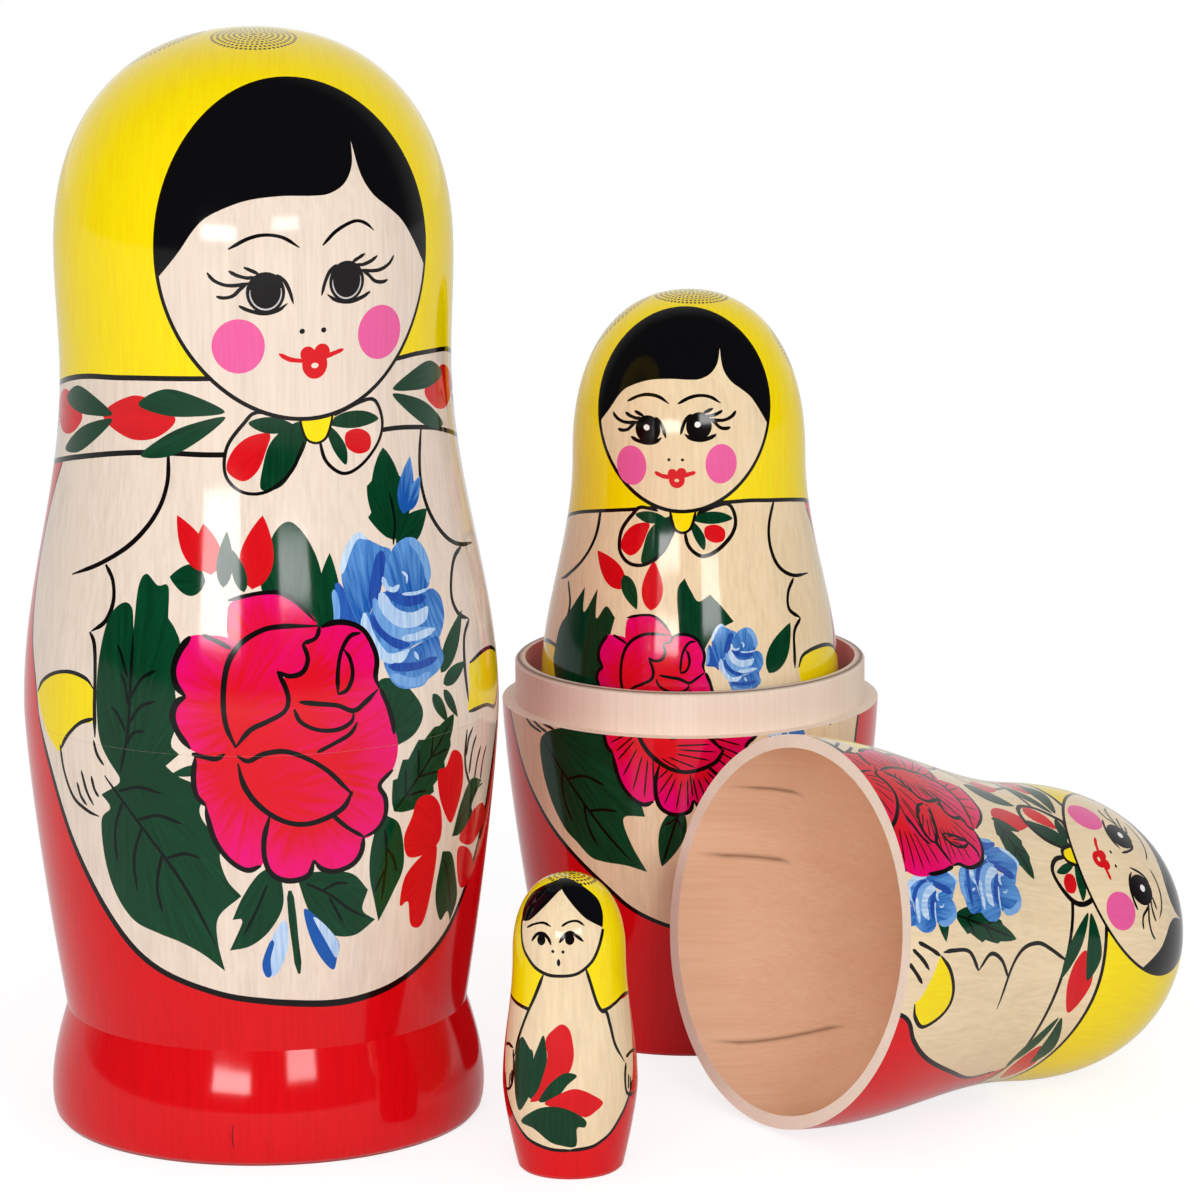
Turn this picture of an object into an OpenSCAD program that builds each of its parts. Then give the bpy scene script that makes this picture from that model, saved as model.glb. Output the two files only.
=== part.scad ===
// A set of turned wooden nesting dolls, opened out on a table.
// Each hollow doll is a base with a thin collar and a top that pushes down over it.
// The large doll stands closed, the third stands closed in the second's open base,
// the second's top lies on its side and the smallest, which is solid, stands in front.
// The fourth and fifth dolls are closed, one inside the other, within the third.

/* [Large doll] */
// Diameter at the seam, where the doll is widest
large_seam_d = 70.5; // [60:0.5:90]
// Height of the seam above the table
large_seam_h = 62.5; // [56:0.5:80]
// Rise from the seam to the narrowest part of the neck
large_shoulder_h = 51; // [40:0.5:65]
// Rise from the neck to the widest part of the head
large_neck_h = 17; // [10:0.5:25]
// Rise from the widest part of the head to the crown
large_crown_h = 32.5; // [28:0.5:45]
// Diameter of the neck
large_neck_d = 57.6; // [48:0.2:60]
// Diameter of the head
large_head_d = 58.6; // [48:0.2:62]
// Diameter of the body where it meets the foot
large_waist_d = 59.8; // [52:0.2:64]
// Height of the flared foot
foot_h = 17; // [10:0.5:22]
// Diameter of the foot at its widest ring
foot_d = 64.8; // [60:0.2:76]
// Height of that ring above the table
foot_ring_h = 4; // [2:0.5:7]
// Diameter of the face that the foot stands on
foot_stand_d = 62.4; // [52:0.2:66]
// Height of the hollow's floor above the table
large_floor_h = 26; // [20:0.5:32]
// Width of the ledge that the top sits on
large_ledge = 2.2; // [1.6:0.1:3.2]
// Thickness of the collar
large_collar_wall = 1.9; // [1.2:0.1:3]
// Height of the collar above the ledge
large_collar_h = 8; // [5:0.5:12]
// Thickness of the wall round the head
large_head_wall = 4; // [2.5:0.1:6]
// Thickness of the wood at the crown
large_crown_wall = 6; // [3:0.5:9]

/* [Second doll] */
// Space all round the second doll inside the large doll's collar
second_gap = 1.9; // [0.4:0.1:3]
// Space above the second doll's crown inside the large doll
second_headroom = 9; // [0.5:0.5:14]
// Width of the ledge that the top sits on
second_ledge = 2; // [1.4:0.1:2.8]
// Thickness of the collar
second_collar_wall = 1.6; // [1.1:0.1:2.4]
// Height of the collar above the ledge
second_collar_h = 6.5; // [4:0.5:10]
// Thickness of the floor
second_floor = 7; // [4:0.5:10]
// Thickness of the wall round the head
second_head_wall = 3.4; // [2:0.1:4.5]
// Thickness of the wood at the crown
second_crown_wall = 4.5; // [2.5:0.5:7]

/* [Third doll] */
// Space all round the third doll inside the second doll's collar
third_gap = 2.4; // [0.4:0.1:3]
// Space above the third doll's crown inside the second doll
third_headroom = 1.5; // [0.5:0.5:8]
// Width of the ledge that the top sits on
third_ledge = 1.9; // [1.3:0.1:2.6]
// Thickness of the collar
third_collar_wall = 1.5; // [1:0.1:2.2]
// Height of the collar above the ledge
third_collar_h = 5.5; // [3.5:0.5:9]
// Thickness of the floor
third_floor = 5; // [3:0.5:8]
// Thickness of the wall round the head
third_head_wall = 2.8; // [1.8:0.1:3.6]
// Thickness of the wood at the crown
third_crown_wall = 4; // [2:0.5:6]

/* [Fourth doll] */
// Space all round the fourth doll inside the third doll's collar
fourth_gap = 1.2; // [0.4:0.1:2]
// Space above the fourth doll's crown inside the third doll
fourth_headroom = 16; // [8:0.5:20]
// Width of the ledge that the top sits on
fourth_ledge = 1.8; // [1.2:0.1:2.4]
// Thickness of the collar
fourth_collar_wall = 1.4; // [1:0.1:2]
// Height of the collar above the ledge
fourth_collar_h = 5; // [3:0.5:8]
// Thickness of the floor
fourth_floor = 4.5; // [2.5:0.5:7]
// Thickness of the wall round the head
fourth_head_wall = 2.4; // [1.6:0.1:3.2]
// Thickness of the wood at the crown
fourth_crown_wall = 3.5; // [2:0.5:5]

/* [Fifth doll] */
// Space all round the fifth doll inside the fourth doll's collar
fifth_gap = 1.4; // [0.4:0.1:2]
// Space above the fifth doll's crown inside the fourth doll
fifth_headroom = 13; // [6:0.5:16]
// Width of the ledge that the top sits on
fifth_ledge = 1.6; // [1.1:0.1:2.2]
// Thickness of the collar
fifth_collar_wall = 1.3; // [0.9:0.1:1.8]
// Height of the collar above the ledge
fifth_collar_h = 4.5; // [3:0.5:7]
// Thickness of the floor
fifth_floor = 4; // [2:0.5:6]
// Thickness of the wall round the head
fifth_head_wall = 2.1; // [1.4:0.1:2.8]
// Thickness of the wood at the crown
fifth_crown_wall = 3; // [2:0.5:5]

/* [Smallest doll] */
// Space all round the smallest doll inside the fifth doll's collar
smallest_gap = 1.3; // [0.3:0.1:2]
// Space above the smallest doll's crown inside the fifth doll
smallest_headroom = 12; // [6:0.5:18]

/* [Fits] */
// Radial clearance between a collar and the top that pushes over it
collar_fit = 0.06; // [0.02:0.01:0.1]
// Thin gap that shows as the seam line
seam_gap = 0.12; // [0.05:0.01:0.3]
// Space left above the end of the collar inside the top
collar_end_gap = 0.6; // [0.2:0.1:1.5]
// Broken edge at the foot of each doll and on each collar
edge = 0.5; // [0.2:0.1:0.8]

/* [Layout on the table] */
// Bearing of the second doll's base from the large doll, seen from above
second_bearing = 36; // [20:1:60]
// Clear distance between the large doll and the second doll's base
second_stand_gap = 15; // [6:0.5:30]
// Bearing of the fallen top's mouth from the second doll's base
fallen_bearing = -77; // [-95:1:-70]
// Clear distance between the second doll's base and the fallen top's mouth
fallen_gap = 1.5; // [0.5:0.5:10]
// The way that the fallen top's crown points
fallen_heading = 35; // [20:1:55]
// Bearing of the smallest doll from the large doll
smallest_bearing = -35; // [-50:1:-30]
// Clear distance between the large doll and the smallest doll
smallest_stand_gap = 10.5; // [5:0.5:14]

/* [Hidden] */

// Shape of the dolls inside the large one: radii are shares of the seam's, heights of the doll's
stand_share = 0.76;
head_share = 0.775;
seam_rise_share = 0.427;
head_rise_share = 0.765;
// The smallest doll is stouter at the head and widest low down
smallest_stand_share = 0.78;
smallest_head_share = 0.835;
smallest_seam_rise_share = 0.29;
smallest_head_rise_share = 0.73;
// Fullness of the belly below the seam, and of the crown
belly_power = 1.35;
crown_power = 2 / 2.25;
// Points along each stretch of a turned side
belly_steps = 12;
shoulder_steps = 14;
crown_steps = 14;
bowl_steps = 10;
foot_steps = 6;
facets = 96;

dress_red = "#c8191f";
scarf_yellow = "#f2c81a";
apron_cream = "#ecd3a4";

// A doll is a list of its sizes, read by these names
function stand_r(doll) = doll[0];
function seam_r(doll) = doll[1];
function neck_r(doll) = doll[2];
function head_r(doll) = doll[3];
function seam_z(doll) = doll[4];
function neck_z(doll) = doll[5];
function head_z(doll) = doll[6];
function crown_z(doll) = doll[7];
function floor_z(doll) = doll[8];
function ledge(doll) = doll[9];
function collar_wall(doll) = doll[10];
function collar_h(doll) = doll[11];
function head_wall(doll) = doll[12];
function crown_wall(doll) = doll[13];

function mouth_r(doll) = seam_r(doll) - ledge(doll) - collar_wall(doll);
function socket_r(doll) = seam_r(doll) - ledge(doll);
function hollow_h(doll) = crown_z(doll) - crown_wall(doll) - floor_z(doll);

// A hollow doll that fits inside another
function nested(outer, gap, headroom, floor_h, ledge, collar_wall, collar_h, head_wall, crown_wall) =
    let (r = mouth_r(outer) - gap, h = hollow_h(outer) - headroom)
    [stand_share * r, r, head_share * r, head_share * r,
     seam_rise_share * h, head_rise_share * h, head_rise_share * h, h,
     floor_h, ledge, collar_wall, collar_h, head_wall, crown_wall];

// The solid doll that fits inside the last hollow one
function innermost(outer, gap, headroom) =
    let (r = mouth_r(outer) - gap, h = hollow_h(outer) - headroom)
    [smallest_stand_share * r, r, smallest_head_share * r, smallest_head_share * r,
     smallest_seam_rise_share * h, smallest_head_rise_share * h, smallest_head_rise_share * h, h];

large_neck_z = large_seam_h + large_shoulder_h;
large_head_z = large_neck_z + large_neck_h;
large_crown_z = large_head_z + large_crown_h;
large = [large_waist_d / 2, large_seam_d / 2, large_neck_d / 2, large_head_d / 2,
         large_seam_h, large_neck_z, large_head_z, large_crown_z,
         large_floor_h, large_ledge, large_collar_wall, large_collar_h, large_head_wall, large_crown_wall];
second = nested(large, second_gap, second_headroom, second_floor, second_ledge, second_collar_wall,
                second_collar_h, second_head_wall, second_crown_wall);
third = nested(second, third_gap, third_headroom, third_floor, third_ledge, third_collar_wall,
               third_collar_h, third_head_wall, third_crown_wall);
fourth = nested(third, fourth_gap, fourth_headroom, fourth_floor, fourth_ledge, fourth_collar_wall,
                fourth_collar_h, fourth_head_wall, fourth_crown_wall);
fifth = nested(fourth, fifth_gap, fifth_headroom, fifth_floor, fifth_ledge, fifth_collar_wall,
               fifth_collar_h, fifth_head_wall, fifth_crown_wall);
smallest = innermost(fifth, smallest_gap, smallest_headroom);

// Curves are lists of [radius, height], from the first point given to the second
function ease(t) = (1 - cos(180 * t)) / 2;
function after_first(points) = [for (i = [1:len(points) - 1]) points[i]];
function reversed(points) = [for (i = [len(points) - 1:-1:0]) points[i]];
function belly(r0, z0, r1, z1) =
    [for (i = [0:belly_steps]) let (t = i / belly_steps)
        [r0 + (r1 - r0) * (1 - pow(1 - t, belly_power)), z0 + (z1 - z0) * t]];
function shoulder(r0, z0, r1, z1) =
    [for (i = [0:shoulder_steps]) let (t = i / shoulder_steps)
        [r0 + (r1 - r0) * ease(t), z0 + (z1 - z0) * t]];
function crown(r, z0, z1) =
    [for (i = [0:crown_steps]) let (a = 90 * i / crown_steps)
        [r * pow(cos(a), crown_power), z0 + (z1 - z0) * pow(sin(a), crown_power)]];
function bowl(r0, z0, r1, z1, steps) =
    [for (i = [0:steps]) let (a = 90 * i / steps)
        [r0 + (r1 - r0) * sin(a), z1 - (z1 - z0) * cos(a)]];
function flare(r0, z0, r1, z1) =
    [for (i = [0:foot_steps]) let (t = i / foot_steps)
        [r1 + (r0 - r1) * cos(90 * t), z0 + (z1 - z0) * t]];

// The outside of a doll below its seam, with a plain edge or with the flared foot
function plain_side(doll) =
    concat([[stand_r(doll) - edge, 0]], belly(stand_r(doll), edge, seam_r(doll), seam_z(doll)));
foot_side = concat(bowl(foot_stand_d / 2, 0, foot_d / 2, foot_ring_h, foot_steps),
                   after_first(flare(foot_d / 2, foot_ring_h, large_waist_d / 2, foot_h)));
large_side = concat(foot_side, after_first(belly(large_waist_d / 2, foot_h, large_seam_d / 2, large_seam_h)));

// The outside of a doll from a height at its seam to the crown
function upper_side(doll, from_z) =
    concat(shoulder(seam_r(doll), from_z, neck_r(doll), neck_z(doll)),
           head_z(doll) > neck_z(doll)
               ? after_first(shoulder(neck_r(doll), neck_z(doll), head_r(doll), head_z(doll))) : [],
           after_first(crown(head_r(doll), head_z(doll), crown_z(doll))));

// The lower half: its side, the ledge, the collar and the bowl inside
module turned_base(doll, side, floor_r) {
    collar_r = socket_r(doll) - collar_fit;
    collar_z = seam_z(doll) + collar_h(doll);
    rotate_extrude($fn = facets)
        polygon(concat([[0, 0]], side,
                       [[collar_r, seam_z(doll)], [collar_r, collar_z - edge], [collar_r - edge, collar_z]],
                       reversed(bowl(floor_r, floor_z(doll), mouth_r(doll), collar_z, bowl_steps)),
                       [[0, floor_z(doll)]]));
}

// The upper half: its side, and a socket that opens into the hollow of the head
module turned_top(doll) {
    rim_z = seam_z(doll) + seam_gap;
    socket_z = seam_z(doll) + collar_h(doll) + collar_end_gap;
    hollow_r = min(neck_r(doll), head_r(doll)) - head_wall(doll);
    rotate_extrude($fn = facets)
        polygon(concat(upper_side(doll, rim_z),
                       reversed(crown(hollow_r, head_z(doll), crown_z(doll) - crown_wall(doll))),
                       reversed(shoulder(socket_r(doll), socket_z, hollow_r, neck_z(doll))),
                       [[socket_r(doll), rim_z]]));
}

// Where the dolls stand, and how high each stands inside the one before
second_distance = seam_r(large) + seam_r(second) + second_stand_gap;
second_place = [second_distance * cos(second_bearing), second_distance * sin(second_bearing), 0];
third_place = second_place + [0, 0, second_floor];
fourth_place = third_place + [0, 0, third_floor];
fifth_place = fourth_place + [0, 0, fourth_floor];
smallest_distance = seam_r(large) + seam_r(smallest) + smallest_stand_gap;
smallest_place = [smallest_distance * cos(smallest_bearing), smallest_distance * sin(smallest_bearing), 0];

// The fallen top rests on its belly and its head, so its axis dips towards the crown
fallen_side = upper_side(second, seam_z(second) + seam_gap);
fallen_slope = min([for (head = fallen_side) if (head[1] >= head_z(second))
    max([for (side = fallen_side) if (side[1] < head_z(second))
        (side[0] - head[0]) / (head[1] - side[1])])]);
fallen_dip = atan(fallen_slope);
fallen_lift = max([for (p = fallen_side) p[0] * cos(fallen_dip) + (p[1] - seam_z(second)) * sin(fallen_dip)]);
fallen_distance = 2 * seam_r(second) + fallen_gap;
fallen_place = second_place + [fallen_distance * cos(fallen_bearing), fallen_distance * sin(fallen_bearing),
                               fallen_lift];

module large_base() {
    color(dress_red)
        turned_base(large, large_side, stand_r(second) + second_gap);
}

module large_top() {
    color(scarf_yellow)
        turned_top(large);
}

module second_base() {
    color(dress_red)
        translate(second_place)
            turned_base(second, plain_side(second), stand_r(third) + third_gap);
}

module second_top() {
    color(scarf_yellow)
        translate(fallen_place)
            rotate([0, 90 + fallen_dip, fallen_heading])
                translate([0, 0, -seam_z(second)])
                    turned_top(second);
}

module third_base() {
    color(apron_cream)
        translate(third_place)
            turned_base(third, plain_side(third), stand_r(fourth) + fourth_gap);
}

module third_top() {
    color(scarf_yellow)
        translate(third_place)
            turned_top(third);
}

module fourth_base() {
    color(dress_red)
        translate(fourth_place)
            turned_base(fourth, plain_side(fourth), stand_r(fifth) + fifth_gap);
}

module fourth_top() {
    color(scarf_yellow)
        translate(fourth_place)
            turned_top(fourth);
}

module fifth_base() {
    color(dress_red)
        translate(fifth_place)
            turned_base(fifth, plain_side(fifth), stand_r(smallest) + smallest_gap);
}

module fifth_top() {
    color(scarf_yellow)
        translate(fifth_place)
            turned_top(fifth);
}

module smallest_doll() {
    color(apron_cream)
        translate(smallest_place)
            rotate_extrude($fn = facets)
                polygon(concat([[0, 0]], plain_side(smallest),
                               after_first(upper_side(smallest, seam_z(smallest)))));
}

large_base();
large_top();
second_base();
second_top();
third_base();
third_top();
fourth_base();
fourth_top();
fifth_base();
fifth_top();
smallest_doll();
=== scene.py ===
import math
import random
from collections import namedtuple

import bpy
import numpy as np
from mathutils import Matrix, Vector
from mathutils.geometry import delaunay_2d_cdt
from mathutils.kdtree import KDTree


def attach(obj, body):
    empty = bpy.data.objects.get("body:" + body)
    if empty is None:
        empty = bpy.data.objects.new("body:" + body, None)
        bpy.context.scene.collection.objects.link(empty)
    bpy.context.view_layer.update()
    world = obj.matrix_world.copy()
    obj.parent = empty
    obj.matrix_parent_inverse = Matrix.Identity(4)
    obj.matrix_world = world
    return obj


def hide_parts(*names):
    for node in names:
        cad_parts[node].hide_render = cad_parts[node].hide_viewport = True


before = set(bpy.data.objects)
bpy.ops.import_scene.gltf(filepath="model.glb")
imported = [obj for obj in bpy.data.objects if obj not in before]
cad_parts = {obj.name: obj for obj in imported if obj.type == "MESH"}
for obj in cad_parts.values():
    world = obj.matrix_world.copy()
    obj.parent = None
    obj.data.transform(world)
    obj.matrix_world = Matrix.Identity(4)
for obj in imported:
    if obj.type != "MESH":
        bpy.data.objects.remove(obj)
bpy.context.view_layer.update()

# Large doll. A closed doll on a flared foot, turned from lime wood in two halves: a base with a ledge
# and a thin collar, and a top whose socket pushes down over the collar. It is painted by hand in the
# common folk manner, lacquered, and stands by its own weight.

# Lathe work: sizes in millimetres, upright, with the doll's axis at the origin
MM = 0.001
COLLAR_FIT = 0.06
SEAM_GAP = 0.025
COLLAR_END_GAP = 0.6
FLOOR_GAP = 0.02
EDGE = 0.5
BELLY_POWER = 1.35
CROWN_POWER = 2 / 2.25
CURVE_POINTS = 90
BOWL_RINGS = 12
SOCKET_RINGS = 12
HEAD_RINGS = 14
POLE_SHARE = 0.04
POLE_R = 1e-3


def ease(t):
    return (1 - np.cos(np.pi * t)) / 2


def belly(r0, z0, r1, z1):
    t = np.linspace(0, 1, CURVE_POINTS)
    return np.column_stack([r0 + (r1 - r0) * (1 - (1 - t) ** BELLY_POWER), z0 + (z1 - z0) * t])


def shoulder(r0, z0, r1, z1, points=CURVE_POINTS):
    t = np.linspace(0, 1, points)
    return np.column_stack([r0 + (r1 - r0) * ease(t), z0 + (z1 - z0) * t])


def crown(r, z0, z1, points=CURVE_POINTS):
    a = np.linspace(0, np.pi / 2, points)
    rise = np.sin(a) ** CROWN_POWER
    return np.column_stack([r * np.clip(np.cos(a), 0, 1) ** CROWN_POWER, z0 + (z1 - z0) * rise])


def bowl(r0, z0, r1, z1, points=CURVE_POINTS):
    a = np.linspace(0, np.pi / 2, points)
    return np.column_stack([r0 + (r1 - r0) * np.sin(a), z1 - (z1 - z0) * np.cos(a)])


def straight(r0, z0, r1, z1):
    t = np.linspace(0, 1, CURVE_POINTS)
    return np.column_stack([r0 + (r1 - r0) * t, z0 + (z1 - z0) * t])


class Doll:
    """The sizes of one doll, and the curves that its lathe tools follow."""

    def __init__(self, stand_r, seam_r, neck_r, head_r, seam_z, neck_z, head_z, crown_z):
        self.stand_r = stand_r
        self.seam_r = seam_r
        self.neck_r = neck_r
        self.head_r = head_r
        self.seam_z = seam_z
        self.neck_z = neck_z
        self.head_z = head_z
        self.crown_z = crown_z
        self.foot = None

    def hollow(self, floor_z, ledge, collar_wall, collar_h, head_wall, crown_wall):
        self.floor_z = floor_z
        self.socket_r = self.seam_r - ledge
        self.collar_r = self.socket_r - COLLAR_FIT
        self.mouth_r = self.socket_r - collar_wall
        self.collar_z = self.seam_z + collar_h
        self.hollow_r = min(self.neck_r, self.head_r) - head_wall
        self.hollow_z = self.crown_z - crown_wall
        return self

    def nested(self, gap, headroom, shares):
        """The outside of a doll that fits inside this one."""
        stand, head, seam_rise, head_rise = shares
        r = self.mouth_r - gap
        h = self.hollow_z - self.floor_z - headroom
        self.floor_r = stand * r + gap
        return Doll(stand * r, r, head * r, head * r, seam_rise * h, head_rise * h, head_rise * h, h)

    def lower_side(self):
        """Stretches from the seam down to the middle of the face it stands on."""
        if self.foot:
            stand_r, ring_r, ring_z, top_z = self.foot
            body = belly(self.stand_r, top_z, self.seam_r, self.seam_z)[::-1]
            t = np.linspace(0, 1, CURVE_POINTS)[::-1]
            flare = np.column_stack([self.stand_r + (ring_r - self.stand_r) * np.cos(np.pi / 2 * t),
                                     ring_z + (top_z - ring_z) * t])
            toe = bowl(stand_r, 0, ring_r, ring_z)[::-1]
            return [body, np.concatenate([flare, toe[1:]]), straight(stand_r, 0, 0, 0)]
        body = belly(self.stand_r, EDGE, self.seam_r, self.seam_z)[::-1]
        chamfer = straight(self.stand_r, EDGE, self.stand_r - EDGE, 0)
        return [body, chamfer, straight(self.stand_r - EDGE, 0, 0, 0)]

    def upper_side(self, from_z):
        """One smooth stretch from a height at the seam up to the crown."""
        side = shoulder(self.seam_r, from_z, self.neck_r, self.neck_z)
        if self.head_z > self.neck_z:
            neck = shoulder(self.neck_r, self.neck_z, self.head_r, self.head_z)
            side = np.concatenate([side, neck[1:]])
        return np.concatenate([side, crown(self.head_r, self.head_z, self.crown_z)[1:]])

    def base_inside(self):
        """Rings of the ledge, the collar and the bowl, from the seam to the floor."""
        rings = [(self.seam_r, self.seam_z), (self.collar_r, self.seam_z)]
        rings += [(self.collar_r, self.collar_z - EDGE), (self.collar_r - EDGE, self.collar_z)]
        floor = bowl(self.floor_r, self.floor_z - FLOOR_GAP, self.mouth_r, self.collar_z, BOWL_RINGS)
        rings += list(map(tuple, floor[::-1]))
        return rings

    def top_inside(self):
        """Rings of the rim, the socket and the hollow, from the seam to under the crown."""
        rim_z = self.seam_z + SEAM_GAP
        socket_z = self.collar_z + COLLAR_END_GAP
        rings = [(self.seam_r, rim_z), (self.socket_r, rim_z)]
        rings += list(map(tuple, shoulder(self.socket_r, socket_z, self.hollow_r, self.neck_z, SOCKET_RINGS)))
        if self.head_z > self.neck_z:
            rings.append((self.hollow_r, self.head_z))
        rings += list(map(tuple, crown(self.hollow_r, self.head_z, self.hollow_z, HEAD_RINGS)[1:-1]))
        rings.append((self.hollow_r * POLE_SHARE, self.hollow_z))
        return rings


INNER_SHARES = (0.76, 0.775, 0.427, 0.765)
SMALLEST_SHARES = (0.78, 0.835, 0.29, 0.73)
large = Doll(29.9, 35.25, 28.8, 29.3, 62.5, 113.5, 130.5, 163).hollow(26, 2.2, 1.9, 8, 4, 6)
large.foot = (31.2, 32.4, 4, 17)
second = large.nested(1.9, 9, INNER_SHARES).hollow(7, 2, 1.6, 6.5, 3.4, 4.5)


class Side:
    """A turned outside from its rim to its pole, and the flat disc that it is painted on.
    The disc keeps angles, so a motif keeps its form anywhere on the doll."""

    def __init__(self, stretches):
        self.upward = stretches[0][-1][1] > stretches[0][0][1]
        outward = 1 if self.upward else -1
        self.stretches = []
        run = 0.0
        for points in stretches:
            steps = np.hypot(*np.diff(points, axis=0).T)
            s = run + np.concatenate([[0], np.cumsum(steps)])
            rise = outward * np.gradient(points[:, 1], s)
            self.stretches.append((s, rise, -outward * np.gradient(points[:, 0], s)))
            run = s[-1]
        points = np.concatenate([stretches[0]] + [part[1:] for part in stretches[1:]])
        self.s = np.concatenate([self.stretches[0][0]] + [part[0][1:] for part in self.stretches[1:]])
        self.r = points[:, 0]
        self.z = points[:, 1]
        per_run = 1 / np.maximum(self.r, POLE_R)
        turns = np.concatenate([[0], np.cumsum((per_run[1:] + per_run[:-1]) / 2 * np.diff(self.s))])
        self.rho = np.exp(-turns)
        self.rho[-1] = 0
        self.painted_s = self.s[-1] if self.upward else self.stretches[-1][0][0]

    def rho_at(self, s):
        return np.where(s < 0, np.exp(-s / self.r[0]), np.interp(s, self.s, self.rho))

    def s_at(self, rho):
        return np.interp(rho, self.rho[::-1], self.s[::-1])


# Brush work: a painting is a list of shapes from the first laid to the last, in degrees round the doll
# from the front and in millimetres up its side
Paint = namedtuple("Paint", "base second near far cover")
Shape = namedtuple("Shape", "outline colour root reach half")
LEAST_RADIUS = 0.3
HEAD_SHARE = 0.8
# A stroke's width where the brush lands and lifts, over which shares of its length, and how it wavers
SOFT_ENDS = (0.45, 0.3)
EVEN_ENDS = (1, 1)
FINE_ENDS = (0.2, 0.2)
LOADED_ENDS = (0.3, 0.2)
LANDING = 0.16
LIFTING = 0.2
WAVER = 0.07
WAVER_TURN = 9


def linear(shade):
    """A web colour as linear light."""
    parts = [int(shade[i:i + 2], 16) / 255 for i in (1, 3, 5)]
    return tuple(c / 12.92 if c <= 0.04045 else ((c + 0.055) / 1.055) ** 2.4 for c in parts)


def paint(base, second=None, near=0.0, far=0.0, cover=1.0):
    """A colour, a second one in its streaks, and how much of the second shows near its root and far."""
    return Paint(linear(base), linear(second or base), near, far, cover)


INK = paint("#0d0808")
SCARF = paint("#fee402", "#fad402", 0.25, 0.25, 0.85)
DRESS = paint("#e00a14", "#d0060f", 0.2, 0.2, 0.97)
HAIR = paint("#08070a")
PALE_WOOD = paint("#f1dfcf", "#ead4c0", 0.3, 0.3, 0.0)
WARM_WOOD = paint("#f5deb9", "#edd0a6", 0.3, 0.3, 0.0)
GREEN = paint("#00331a", "#06492a", 0.2, 0.5)
VEIN = paint("#000d06")
LIP_RED = paint("#da1019")
CHEEK = paint("#ee64a2", "#e9589a", 0.3, 0.3)
BUD_RED = paint("#dc0f19", "#c80912", 0.35, 0.15)
HOT_PINK = paint("#ec0474", "#de0e22", 1.8, 0.05)
DEEP_RED = paint("#de0e20", "#e80464", -0.4, 0.65)
SKY = paint("#1656aa", "#6aa6e4", -0.4, 0.7)
DEEP_BLUE = paint("#24459f", "#2f6cc0", 0.2, 0.5)
PALE_BLUE = paint("#84b2e6", "#4a8ad2", 0.3, 0.3)
WHITE_BLUE = paint("#d2e4f6", "#6aa4e2", 0.3, 0.3)
WHITE = paint("#f6f3ee")
PALE_GREY = paint("#cbc7c6")
DOT_BROWN = paint("#4a3206")
DOT_DARK = paint("#5d1116")


def curve_through(points, fine, closed=False):
    """A smooth curve through points, with a new point about every fine step."""
    p = np.asarray(points, float)
    spans = len(p) if closed else len(p) - 1
    if closed:
        p = np.concatenate([p[-1:], p, p[:2]])
    else:
        p = np.concatenate([[2 * p[0] - p[1]], p, [2 * p[-1] - p[-2]]])
    parts = []
    for i in range(spans):
        a, b, c, d = p[i:i + 4]
        count = max(2, int(math.hypot(*((c - b) / fine))) + 1)
        t = np.linspace(0, 1, count, endpoint=False)[:, None]
        parts.append(0.5 * (2 * b + (c - a) * t + (2 * a - 5 * b + 4 * c - d) * t ** 2
                            + (3 * b - a - 3 * c + d) * t ** 3))
    if not closed:
        parts.append(p[-2:-1])
    return np.concatenate(parts)


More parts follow.
